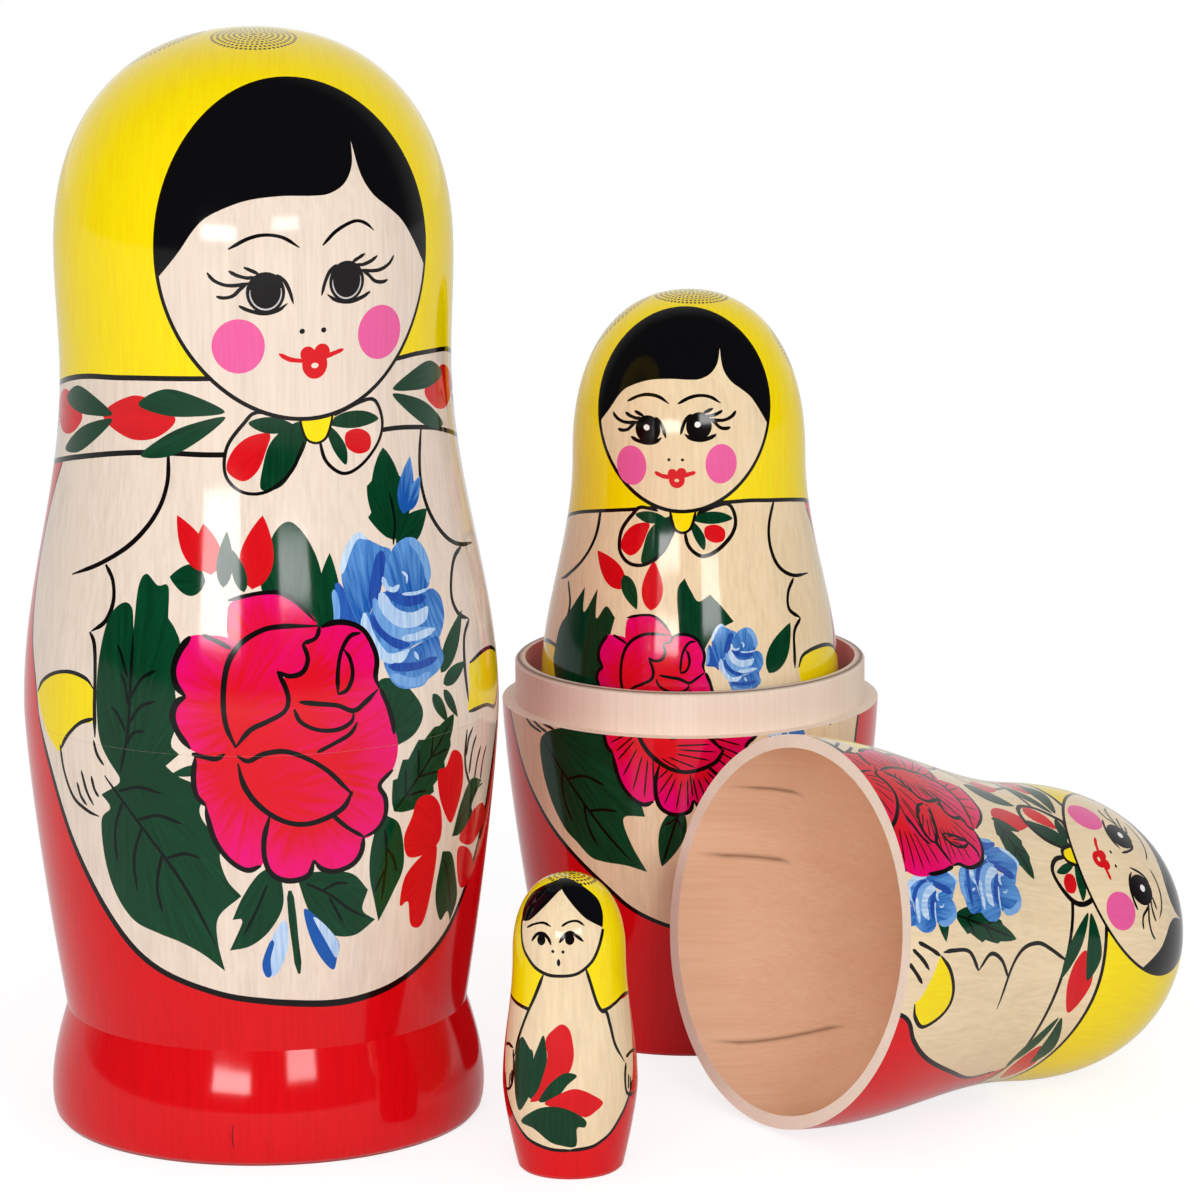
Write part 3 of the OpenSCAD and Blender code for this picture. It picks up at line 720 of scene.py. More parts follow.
large_art = Painting(large, PALE_WOOD, 0.6)
DRESS_LEFT = [(-62, 109), (-69, 101.8), (-74, 97.5), (-78, 92), (-79, 86), (-77, 80), (-73, 74), (-68, 69),
              (-65, 64), (-60, 57), (-52, 46), (-40, 35.5), (-28, 29.5), (-10, 26), (5, 24.7)]
DRESS_RIGHT = [(5, 24.7), (20, 24), (30, 24.3), (40, 25.5), (50, 28), (60, 32), (69, 39), (76, 47), (81, 56),
               (87, 64), (92, 69), (98, 74), (102.5, 80), (104.5, 86), (103.5, 92), (99, 97.5), (93, 101.8),
               (84, 109)]
dress_front(large_art, DRESS_LEFT, DRESS_RIGHT)
large_art.line(DRESS_LEFT[1:9], DRESS_RIGHT[9:-1], width=0.5, thin=(0.5, 0.5))
large_art.line(DRESS_LEFT[8:], width=1.0, thin=(0.4, 1))
large_art.line(DRESS_RIGHT[:10], width=1.0, thin=(1, 0.4))

# Sleeves, cuffs and hands
LARGE_CUFF_LEFT = [(-66, 67.5), (-63, 69.5), (-57, 71.3), (-50, 72.2), (-44, 71.8), (-41.2, 70.5),
                   (-40.8, 66), (-46, 65), (-51, 62.8), (-54, 60), (-58, 61), (-62, 63.5)]
LARGE_CUFF_RIGHT = [(62, 64.5), (63, 68), (64, 71.5), (72, 72.2), (80, 71.8), (88, 70), (86, 65.5), (80, 63),
                    (72, 64.2)]
large_art.fill(LARGE_CUFF_LEFT, colour=SCARF)
large_art.fill(LARGE_CUFF_RIGHT, colour=SCARF)
large_art.line(
    [(-23, 106), (-23, 101), (-26, 96.5), (-33, 92), (-43, 88.5), (-54, 86)],
    [(-41, 88.5), (-38, 86.5), (-37, 83.5), (-39, 80.5), (-43.5, 78.7)],
    [(-44, 78.6), (-42, 77), (-41, 73), (-40.7, 68), (-40.5, 63.5)],
    [(58, 107), (55.5, 102), (55, 98), (57, 94), (62, 90.5), (69, 88.5), (80, 87.5)],
    [(70, 88), (65, 87), (61.5, 84.5), (60, 81.5), (62, 79), (66.5, 77.8)],
    [(67, 77.7), (63, 75.5), (61.5, 71), (62, 66)], width=0.72)
large_art.line(
    [(-66, 67.5), (-63, 69.5), (-57, 71.3), (-50, 72.2), (-44, 71.8), (-41.2, 70.5)],
    [(-41, 66.2), (-46, 65), (-51, 62.5), (-54, 60.2)],
    [(-54, 61), (-53, 57), (-50, 53.5), (-45, 52), (-41, 51.5)],
    [(64, 71.5), (72, 72.2), (80, 71.8), (88, 70)], [(62, 64.5), (72, 64.2), (80, 63), (86, 65.5)], width=0.6)
large_art.line(
    [(-48, 56), (-47, 54), (-45, 52.8)], [(-46, 58), (-44.6, 55), (-42.5, 53)],
    [(-42.5, 57.5), (-41.8, 55.6), (-40.5, 54.5)], [(-41, 63), (-40, 61), (-38, 59.5)],
    [(61, 58), (62, 60.5), (64, 62)], [(63, 55), (64, 58.5), (66, 60.5)], [(66, 52.5), (67, 56), (69, 58.5)],
    [(70, 53), (71, 56), (73, 58)], [(61, 62), (60.5, 58), (62, 55), (66, 52.3), (72, 52.3)], width=0.55)

# Bouquet
LARGE_LEAF_UP = [[(-17, 62.5), (-22, 60), (-30, 57), (-38, 62), (-40, 68), (-40, 75), (-38, 81), (-34, 83.5),
                  (-31, 83), (-30, 80)],
                 [(-30, 80), (-29.6, 86), (-27.5, 88), (-24, 86.5), (-21, 86.5), (-20.5, 82)],
                 [(-20.5, 82), (-18.5, 80.5), (-17, 78), (-18, 72), (-17, 68), (-19, 64), (-17, 62.5)]]
LARGE_LEAF_LOW = [[(-22, 61.5), (-29, 60.6), (-35, 59.5)], [(-35, 59.5), (-33.5, 57.4), (-39.5, 55)],
                  [(-39.5, 55), (-37, 53.2), (-40.3, 51), (-40.4, 45), (-38, 40), (-33, 36.3), (-26, 34.8),
                   (-20, 33.8), (-14, 32.2), (-8, 29.6)],
                  [(-8, 29.6), (-9.5, 34), (-9, 38), (-3, 41.3)],
                  [(-3, 41.3), (-6.3, 43.6), (-8, 47), (-7, 50)],
                  [(-7, 50), (-11, 52), (-12.5, 54.5), (-9.5, 57.4)],
                  [(-9.5, 57.4), (-14, 58.4), (-18, 59.4), (-22, 61.5)]]
large_art.fill(*LARGE_LEAF_UP, colour=GREEN, root=(-30, 57), reach=28)
large_art.fill(*LARGE_LEAF_LOW, colour=GREEN, root=(-30, 60), reach=28)
large_art.line([(-33, 59), (-30.5, 65), (-30, 72), (-30, 79.5)], [(-30, 70), (-27, 73), (-23, 74.5)],
               [(-30, 66.5), (-27, 69), (-23, 70)], [(-31, 63), (-29, 65), (-26, 65.5)],
               [(-30.5, 69), (-31.5, 72), (-33, 73.5)], [(-31, 73), (-33, 76), (-34.5, 77.5)],
               [(-31, 65), (-33.5, 67.5), (-35.5, 68.5)], [(-38, 58), (-28, 51), (-18, 43), (-10, 33.5)],
               [(-28, 51), (-31, 46), (-31, 41)], [(-23, 47), (-25, 42), (-24, 38)],
               [(-33, 54.5), (-36, 50), (-36.5, 45)], [(-29, 52), (-23, 53), (-17, 52)],
               [(-22, 46.5), (-17, 47.5), (-13, 47)], [(-34, 56), (-28, 57), (-22, 56.4)], width=0.5,
               colour=VEIN)
large_art.fill([(6.5, 45.5), (2, 45), (-2.5, 41.4), (-5.5, 37.6)], [(-5.5, 37.6), (-3, 37.4), (-6.5, 32.8)],
               [(-6.5, 32.8), (-1, 33.6), (4, 36), (7.4, 40), (6.5, 45.5)], colour=GREEN, root=(5, 46),
               reach=14)
large_art.fill([(10.5, 44.5), (18, 44.6), (25, 43.8), (29.5, 41)], [(29.5, 41), (28.2, 38), (32, 36.2)],
               [(32, 36.2), (26, 34.2), (19, 35), (14, 38.5), (10.5, 44.5)], colour=GREEN, root=(11, 44),
               reach=14)
large_art.fill([(34, 52), (38, 50), (39.8, 44), (37, 40), (33, 35.8)],
               [(33, 35.8), (31.5, 39), (29.8, 43), (29.8, 47), (31.5, 51), (34, 52)], colour=GREEN,
               root=(33, 51), reach=15)
large_art.line([(13, 43), (19, 41), (24, 38.6), (29, 36.8)], [(17, 41.6), (21, 42.6), (24, 42.4)],
               [(19, 40.6), (21, 38.4), (23, 36.4)], [(33.6, 50), (34.4, 45), (33.6, 39)],
               [(34.4, 47), (36.6, 45), (37.6, 43)], [(34.4, 44), (32.6, 42), (31.6, 40.4)],
               [(3.4, 43), (0.6, 39), (-3, 35)], width=0.42, colour=VEIN)
leaf(large_art, (36, 52.4), (55.5, 65), 8.6, teeth=5, veins=3)
large_art.fill([(31.5, 71.5), (37, 72), (42, 69.4), (44.5, 66.5), (42.5, 64), (38, 62.6), (33, 63)],
               colour=GREEN, root=(33, 64), reach=9)
large_art.fill([(3.6, 86), (4.2, 90), (7, 94.2), (11, 95.8), (15, 94), (18.4, 90), (19.4, 85), (17, 82),
                (10, 83)],
               colour=GREEN, root=(11, 78), reach=18)
# Small leaves, buds and petals: stalk, tip, width, colour, teeth
for row in (((19, 77.5), (21.6, 91), 4.2), ((-11, 87.4), (-20.8, 87.8), 4.6),
            ((51.5, 71.5), (63.5, 79.4), 3.2), ((52, 69.8), (62, 72), 2.5), ((48, 68.8), (53, 64), 2),
            ((52, 69), (57, 64.3), 1.7), ((-9.5, 88.4), (-12, 95.6), 3.9, BUD_RED),
            ((-11, 88.8), (-19.4, 96.6), 3.7, BUD_RED), ((-6.4, 86.6), (-5.6, 94.6), 2.4),
            ((1, 86.4), (4, 96.8), 4.9, BUD_RED), ((-1, 86), (-4, 92), 2),
            ((41.4, 91.6), (41.2, 105), 8.2, GREEN, 3), ((42, 91), (55.6, 95), 4.2),
            ((46, 95), (51.4, 103), 3.3, SKY), ((47.4, 95.4), (54.8, 99.8), 2.6, SKY)):
    leaf(large_art, *row)
large_art.line([(41, 91), (42.6, 94.4), (42, 98.6)], width=0.45, colour=VEIN)
large_art.line([(9, 42), (10, 36), (11.5, 29)], width=1.1, colour=GREEN)
large_art.fill([(7.6, 37.5), (8.7, 33.8), (6.1, 29.5), (2.8, 28.7), (1.8, 30.8), (3.9, 34.2)],
               colour=WHITE_BLUE)
large_art.fill([(3.9, 34.2), (1.8, 30.8), (2.8, 28.7), (4.2, 29), (4, 31.4), (5, 34)], colour=SKY)
large_art.fill([(12.6, 39), (16, 37.6), (21.8, 33.6), (21.6, 31), (20.6, 29.2), (17, 31.4), (14, 35)],
               colour=SKY)
large_art.fill([(15, 37.6), (18, 36.4), (21.8, 33.4), (21.4, 31), (18.6, 33.6)], colour=WHITE_BLUE)
leaf(large_art, (-10.5, 60.8), (-19.5, 59.3), 1.6)
# The red flower at the right: five petals about one heart, and two leaves over them
for petal in ([(55.5, 48.5), (51, 52.6), (49.6, 57), (52.5, 57.4), (55, 59.6), (59, 58.2), (60.2, 54),
               (58, 50)],
              [(52, 46.4), (46.5, 44.8), (41, 45), (39.4, 48), (41.5, 51), (43.4, 53.6), (48, 53.6),
               (51.6, 51)],
              [(51, 45.4), (46, 44.8), (40.5, 42), (39.4, 37.6), (42, 38), (43.6, 34.2), (47.6, 33.8),
               (50, 38)],
              [(60.5, 45.5), (66, 48.6), (73, 49.2), (77, 47), (73, 44.6), (67, 43.6)],
              [(60.5, 44), (66, 43.2), (70.4, 40.6), (69, 37.8), (64, 37.4), (61, 40.4)]):
    large_art.fill(petal, colour=BUD_RED, root=(55, 45.5), reach=12)
large_art.fill([(53.4, 44.4), (57.4, 43.6), (60.4, 40), (62.4, 36), (60, 32.8)],
               [(60, 32.8), (58, 34.6), (55, 33.6), (52, 38), (53.4, 44.4)], colour=GREEN, root=(54, 44),
               reach=11)
large_art.fill([(57, 46.2), (60, 51), (64.4, 54), (71, 53)],
               [(71, 53), (66, 50), (66.4, 48.4), (61, 46.2), (57, 46.2)], colour=GREEN, root=(57, 46),
               reach=10)
large_art.line([(54.4, 43), (57, 39.6), (59.6, 35)], [(58.6, 47), (63, 50), (68, 52)], width=0.4, colour=VEIN)
large_art.line([(52.4, 44.6), (55, 45.6), (58, 45.4)], width=0.7, colour=PALE_WOOD)
blue_rose(large_art, 42.5, 84.6, 1)
rose(large_art, 8, 66, 1)

# Scarf, its border, the bow and the face
BORDER_LOW = [(-163, 94.5), (-130, 96), (-110, 97.5), (-90, 99), (-60, 102.5), (-40, 104.5), (-25, 105.3),
              (-8, 105.4), (17, 106), (41, 107.5), (60, 106.5), (76, 104.5), (100, 101), (125, 98),
              (160, 95.2)]
BORDER_HIGH = [(-163, 104.5), (-130, 106.5), (-110, 108.5), (-90, 110.5), (-60, 114.3), (-40, 115.5),
               (-20, 116.2), (17, 116.9), (47, 117.5), (60, 117.5), (80, 116.3), (100, 113), (125, 109),
               (160, 105.5)]


def scarf(art, border_low, border_high, line):
    """The scarf over the head, with its border left bare for the garland."""
    art.ribbon(art.all_above(border_low, art.wood), line, INK, EVEN_ENDS)
    art.ribbon(art.all_above(border_high, SCARF), line, INK, EVEN_ENDS)


scarf(large_art, BORDER_LOW, BORDER_HIGH, 0.75)
garland(large_art, [(-6, 111.2), (-43, 109.6), (-80, 106.4), (-118, 102.8), (-154, 100)], -1, 1, 5)
garland(large_art, [(46, 112.8), (84, 109.6), (121, 104.8), (158, 101)], 1, 1, 6)
bow(large_art, 20, 108.6, 1, 0.52)
face(large_art, 17.5, 134.15, 20.05, 23.85, 0.012, 0.05, -0.2, 0.108, 0.75, 0.138, 1.1, True)
for plan_x, plan_y in ((0.8, -4.7), (-12.8, 2.6)):
    ornament(large_art, large_art.overhead(plan_x, plan_y), 8, 0.82)
for at_degrees, at_z in ((-178, 150), (112, 150), (-120, 124), (120, 124), (180, 118)):
    ornament(large_art, large_art.spot(at_degrees, at_z), 8, 0.82)
large_art.line([(-6.5, 6.6), (-6.8, 4.6), (-6.4, 3)], width=0.2, colour=DOT_DARK)


# Surfaces: shader sums are written as sums
class Socket:
    """One output of a shader node."""

    def __init__(self, finish, output):
        self.finish = finish
        self.output = output

    def __add__(self, other):
        return self.finish.maths("ADD", self, other)

    def __radd__(self, other):
        return self.finish.maths("ADD", other, self)

    def __sub__(self, other):
        return self.finish.maths("SUBTRACT", self, other)

    def __rsub__(self, other):
        return self.finish.maths("SUBTRACT", other, self)

    def __mul__(self, other):
        return self.finish.maths("MULTIPLY", self, other)

    def __rmul__(self, other):
        return self.finish.maths("MULTIPLY", other, self)

    def __truediv__(self, other):
        return self.finish.maths("DIVIDE", self, other)

    def __rtruediv__(self, other):
        return self.finish.maths("DIVIDE", other, self)

    def clamped(self):
        return self.finish.node("ShaderNodeClamp", {"Value": self})


class Finish:
    """A material or a world, and a short way to add its nodes."""

    def __init__(self, owner):
        self.owner = owner
        owner.use_nodes = True
        self.tree = owner.node_tree
        self.tree.nodes.clear()

    def node(self, kind, inputs, output=0, **settings):
        made = self.tree.nodes.new(kind)
        for name, value in settings.items():
            setattr(made, name, value)
        for name, value in inputs.items():
            if isinstance(value, Socket):
                self.tree.links.new(value.output, made.inputs[name])
            else:
                made.inputs[name].default_value = value
        return Socket(self, made.outputs[output]) if made.outputs else None

    def maths(self, operation, a, b):
        return self.node("ShaderNodeMath", {0: a, 1: b}, operation=operation)

    def mix(self, factor, a, b):
        return self.node("ShaderNodeMix", {0: factor, 6: a, 7: b}, 2, data_type="RGBA")

    def stretched_noise(self, vector, scale, detail=2.0):
        """Noise in streaks: the vector is scaled by a different amount each way."""
        scaled = self.node("ShaderNodeVectorMath", {0: vector, 1: scale}, operation="MULTIPLY")
        return self.node("ShaderNodeTexNoise", {"Vector": scaled, "Scale": 1.0, "Detail": detail})

    def attribute(self, name, output):
        return self.node("ShaderNodeAttribute", {}, output, attribute_name=name)

    def ray(self, kind):
        return self.node("ShaderNodeLightPath", {}, kind)

    def surface(self, inputs):
        shader = self.node("ShaderNodeBsdfPrincipled", inputs)
        self.node("ShaderNodeOutputMaterial", {"Surface": shader})
        return self.owner


# Noises per millimetre: twice across the grain and once along it, or across a stroke, along it and between
PAINTED_FIBRE = (1.5, 1.5, 0.05)
PAINTED_BANDS = (0.22, 0.22, 0.012)
BRUSH_HAIRS = (1.9, 0.14, 1.0)
LACQUER_WAVES = (0.35, 0.35, 0.12)
BARE_FIBRE = (2.4, 2.4, 0.06)
BARE_BANDS = (0.25, 0.25, 0.02)
# How strongly they show in the colour, the bump and the roughness
HAIR_CONTRAST = 1.8
FIBRE_MIDDLE = 0.42
FIBRE_SHADE = 0.3
BAND_MIDDLE = 0.45
BAND_SHADE = 0.2
BARE_FIBRE_CONTRAST = 1.1
BARE_BAND_CONTRAST = 0.9
BARE_DARK_SHARE = 0.4
BUMP_DEPTH = 0.0002
LACQUER_BUMP = 0.05
LACQUER_ROUGHNESS = 0.06
LACQUER_SHEEN = 0.25
WOOD_BUMP = 0.25
WOOD_ROUGHNESS = 0.5
WOOD_ROUGHNESS_SPAN = 0.2
WORN_WOOD = "#6d4526"


def lacquered_paint():
    """Gouache under clear lacquer; where there is no paint, the wood's grain shows."""
    finish = Finish(bpy.data.materials.new("lacquered_paint"))
    grain = finish.attribute("grain", "Vector")
    fibre = finish.stretched_noise(grain, PAINTED_FIBRE, 4.0)
    bands = finish.stretched_noise(grain, PAINTED_BANDS)
    hairs = finish.stretched_noise(finish.attribute("brush", "Vector"), BRUSH_HAIRS, 3.0)
    level = finish.attribute("streak", "Alpha")
    second_share = ((hairs - 0.5) * HAIR_CONTRAST + level).clamped()
    laid = finish.mix(second_share, finish.attribute("paint", "Color"), finish.attribute("streak", "Color"))
    bare = 1.0 - finish.attribute("paint", "Alpha")
    grained = ((fibre - FIBRE_MIDDLE) * FIBRE_SHADE + (bands - BAND_MIDDLE) * BAND_SHADE).clamped()
    shade = (1.0 - bare * grained).clamped()
    colour = finish.node("ShaderNodeVectorMath", {0: laid, 1: shade}, operation="MULTIPLY")
    waves = finish.stretched_noise(grain, LACQUER_WAVES)
    bump = finish.node("ShaderNodeBump", {"Strength": LACQUER_BUMP, "Distance": BUMP_DEPTH, "Height": waves})
    return finish.surface({"Base Color": colour, "Roughness": waves * LACQUER_ROUGHNESS + LACQUER_ROUGHNESS,
                           "Specular IOR Level": LACQUER_SHEEN, "Normal": bump})


def bare_wood(name, pale, dark):
    """Turned lime wood without lacquer: fine fibre along the axis, darker where it is worn."""
    finish = Finish(bpy.data.materials.new(name))
    grain = finish.attribute("grain", "Vector")
    fibre = finish.stretched_noise(grain, BARE_FIBRE, 5.0)
    bands = finish.stretched_noise(grain, BARE_BANDS)
    share = (fibre - 0.5) * BARE_FIBRE_CONTRAST + (bands - 0.5) * BARE_BAND_CONTRAST + BARE_DARK_SHARE
    colour = finish.mix(share.clamped(), linear(pale) + (1,), linear(dark) + (1,))
    worn = finish.attribute("wear", "Fac")
    colour = finish.mix(worn * worn, colour, linear(WORN_WOOD) + (1,))
    bump = finish.node("ShaderNodeBump", {"Strength": WOOD_BUMP, "Distance": BUMP_DEPTH, "Height": fibre})
    roughness = fibre * WOOD_ROUGHNESS_SPAN + WOOD_ROUGHNESS
    return finish.surface({"Base Color": colour, "Roughness": roughness, "Normal": bump})


painted = lacquered_paint()
bare = bare_wood("bare_lime_wood", "#f9e8d8", "#ecd5c0")


# Turning and painting one half
MOST_AT_ONCE = 4000000


def inside(polygon, points):
    """Which points lie inside a polygon, where one that winds twice still counts."""
    x0, y0 = polygon.T
    x1, y1 = np.roll(polygon, -1, axis=0).T
    found = np.zeros(len(points), bool)
    low = polygon.min(axis=0)
    high = polygon.max(axis=0)
    near = np.flatnonzero(((points >= low) & (points <= high)).all(axis=1))
    for chunk in np.array_split(near, len(near) * len(polygon) // MOST_AT_ONCE + 1):
        px = points[chunk, 0][:, None]
        py = points[chunk, 1][:, None]
        left_of = (x1 - x0) * (py - y0) - (px - x0) * (y1 - y0)
        up = (y0 <= py) & (y1 > py) & (left_of > 0)
        down = (y0 > py) & (y1 <= py) & (left_of < 0)
        found[chunk] = up.sum(axis=1) != down.sum(axis=1)
    return found


def wrapped(degrees):
    return (degrees + 180) % 360 - 180


# The mesh of the outside: its steps in millimetres, and how near to each other its points may lie
BEYOND_RIM = -3.0
RIM_STEP = 1.0
SKIN_STEP = 1.25
PLAIN_STEPS = 3
FIRST_RING = 0.8
CLEAR_OF_STROKES = 0.45
LEAST_RUN = 0.02
SAME_POINT = 1e-5
CUT_POINT = 1e-8
WELD = 1e-6
# How the brush's hairs fan out from a root, and how far two shapes lie from each other in the noise
FAN = 0.6
STROKE_SHIFT = 7.31
# Wear of the bare wood
CRACK_WEAR = 0.85
CRACK_DEGREES = 0.05
COLLAR_EDGE_RING = 3
# Where the outside and the bare wood lie in the baked picture
FRONT_SPAN = 100
FRONT_SHARE = 0.4
BACK_SHARE = 0.095
PICTURE_EDGE = 0.001
SKIN_V = (0.13, 0.99)
WOOD_V = (0.01, 0.11)


def spread(degrees):
    """Across the baked picture the front of the doll takes most of the width."""
    turn = np.abs(degrees)
    back = FRONT_SHARE + (turn - FRONT_SPAN) / (180 - FRONT_SPAN) * BACK_SHARE
    share = np.where(turn < FRONT_SPAN, turn / FRONT_SPAN * FRONT_SHARE, back)
    return np.clip(0.5 + np.sign(degrees) * share, PICTURE_EDGE, 1 - PICTURE_EDGE)


def painted_skin(name, side, art, half, ground, step, front):
    """The outside of one half as a mesh, cut along the edge of every brush stroke."""
    verts = []
    edges = []

    def closed_loop(points):
        first = len(verts)
        verts.extend(points.tolist())
        edges.extend((first + i, first + (i + 1) % len(points)) for i in range(len(points)))

    def ring(rho, count, phase=0.0):
        a = np.linspace(0, 2 * np.pi, count, endpoint=False) + phase
        return np.column_stack([rho * np.sin(a), -rho * np.cos(a)])

    rim = ring(1.0, int(2 * math.pi * side.r[0] / RIM_STEP))
    closed_loop(rim)
    for s, _, _ in side.stretches[1:]:
        closed_loop(ring(side.rho_at(s[0]), int(2 * math.pi * np.interp(s[0], side.s, side.r) / RIM_STEP)))
    laid = []
    for shape in art.shapes:
        s = shape.outline[:, 1] - art.seam_run
        s = s if side.upward else -s
        if shape.half not in (None, half) or s.max() < LEAST_RUN:
            continue
        rho = side.rho_at(np.clip(s, BEYOND_RIM, side.painted_s))
        a = np.radians(shape.outline[:, 0])
        outline = np.column_stack([rho * np.sin(a), -rho * np.cos(a)])
        outline = outline[np.hypot(*(outline - np.roll(outline, 1, axis=0)).T) > SAME_POINT]
        if len(outline) > 2:
            closed_loop(outline)
            laid.append((shape, outline))
    taken = KDTree(len(verts))
    for i, (x, y) in enumerate(verts):
        taken.insert((x, y, 0), i)
    taken.balance()
    s = step * FIRST_RING
    odd = 0
    while s < side.s[-1] - step * 0.5:
        r = float(np.interp(s, side.s, side.r))
        rho = float(side.rho_at(s))
        count = max(6, int(2 * math.pi * r / step))
        for x, y in ring(rho, count, odd * math.pi / count).tolist():
            if taken.find((x, y, 0))[2] > CLEAR_OF_STROKES * step * rho / r:
                verts.append([x, y])
        odd = 1 - odd
        s += step * (1 if s < side.painted_s else PLAIN_STEPS)
    verts.append([0, 0])
    made = delaunay_2d_cdt([Vector(v) for v in verts], edges, [], 0, CUT_POINT, False)
    flat = np.array([tuple(v) for v in made[0]])
    tris = np.array(made[2])
    tris = tris[inside(rim, flat[tris].mean(axis=1))]
    used, tris = np.unique(tris, return_inverse=True)
    flat = flat[used]
    tris = tris.reshape(-1, 3)
    sides = np.sort(np.concatenate([tris[:, [0, 1]], tris[:, [1, 2]], tris[:, [2, 0]]]), axis=1)
    border, counts = np.unique(sides, axis=0, return_counts=True)
    rim_verts = np.unique(border[counts == 1])

    rho = np.hypot(*flat.T)
    rho[rim_verts] = 1.0
    degrees = np.degrees(np.arctan2(flat[:, 0], -flat[:, 1]))
    s = side.s_at(rho)
    r = np.interp(s, side.s, side.r)
    z = np.interp(s, side.s, side.z)
    a = np.radians(degrees)
    upright = np.column_stack([r * np.sin(a), -r * np.cos(a), z])
    if not side.upward:
        tris = tris[:, ::-1]
    mesh = bpy.data.meshes.new(name)
    mesh.from_pydata((upright * MM).tolist(), [], tris.tolist())
    corners = tris.reshape(-1)
    middles = flat[tris].mean(axis=1)
    middle_s = side.s_at(np.hypot(*middles.T))
    middle_degrees = np.repeat(np.degrees(np.arctan2(middles[:, 0], -middles[:, 1])), 3)

    normals = np.zeros((len(corners), 3))
    for part_s, part_r, part_z in side.stretches:
        own = np.repeat((middle_s >= part_s[0]) & (middle_s <= part_s[-1]), 3)
        nr = np.interp(s[corners[own]], part_s, part_r)
        nz = np.interp(s[corners[own]], part_s, part_z)
        turn = np.radians(degrees[corners[own]])
        normals[own] = np.column_stack([nr * np.sin(turn), -nr * np.cos(turn), nz])

    choice = np.full(len(tris), -1)
    for i, (_, outline) in enumerate(laid):
        choice[inside(outline, middles)] = i
    choice[middle_s > side.painted_s] = -2
    run = art.seam_run + (s if side.upward else -s)
    paints = np.zeros((len(corners), 4))
    streaks = np.zeros((len(corners), 4))
    brush = np.zeros((len(corners), 3))
    for i in np.unique(choice):
        own = np.repeat(choice == i, 3)
        at = corners[own]
        shape = laid[i][0] if i >= 0 else Shape(None, art.wood if i == -2 else ground, None, 1.0, None)
        here = middle_degrees[own] + wrapped(degrees[at] - middle_degrees[own])
        across = np.radians(here) * r[at]
        along = run[at]
        share = np.zeros(len(at))
        if shape.root is not None:
            du = np.radians(wrapped(here - shape.root[0])) * r[at]
            dv = run[at] - shape.root[1]
            along = np.hypot(du, dv)
            across = np.arctan2(du, dv) * shape.reach * FAN
            share = np.clip(along / shape.reach, 0, 1)
        colour = shape.colour
        paints[own] = colour.base + (colour.cover,)
        streaks[own, :3] = colour.second
        streaks[own, 3] = colour.near + (colour.far - colour.near) * share
        hair = art.fine * art.stretch / large_art.fine
        brush[own] = np.column_stack([across / hair, along / hair, np.full(len(at), i * STROKE_SHIFT)])
    for title, values in (("paint", paints), ("streak", streaks)):
        mesh.attributes.new(title, "FLOAT_COLOR", "CORNER").data.foreach_set("color", values.ravel())
    for title, domain, values in (("brush", "CORNER", brush), ("turned_normal", "CORNER", normals),
                                  ("grain", "POINT", upright)):
        mesh.attributes.new(title, "FLOAT_VECTOR", domain).data.foreach_set("vector", values.ravel())
    layer = mesh.uv_layers.new(name="OFBake")
    u = spread(wrapped(middle_degrees - front) + wrapped(degrees[corners] - middle_degrees))
    v = SKIN_V[0] + (SKIN_V[1] - SKIN_V[0]) * s[corners] / side.s[-1]
    layer.uv.foreach_set("vector", np.column_stack([u, v]).ravel())
    piece = bpy.data.objects.new(name, mesh)
    bpy.context.collection.objects.link(piece)
    mesh.materials.append(painted)
    order = rim_verts[np.argsort(degrees[rim_verts])]
    return piece, upright[order]


def only(piece):
    """Selects one piece and nothing else."""
    bpy.ops.object.select_all(action="DESELECT")
    piece.select_set(True)
    bpy.context.view_layer.objects.active = piece


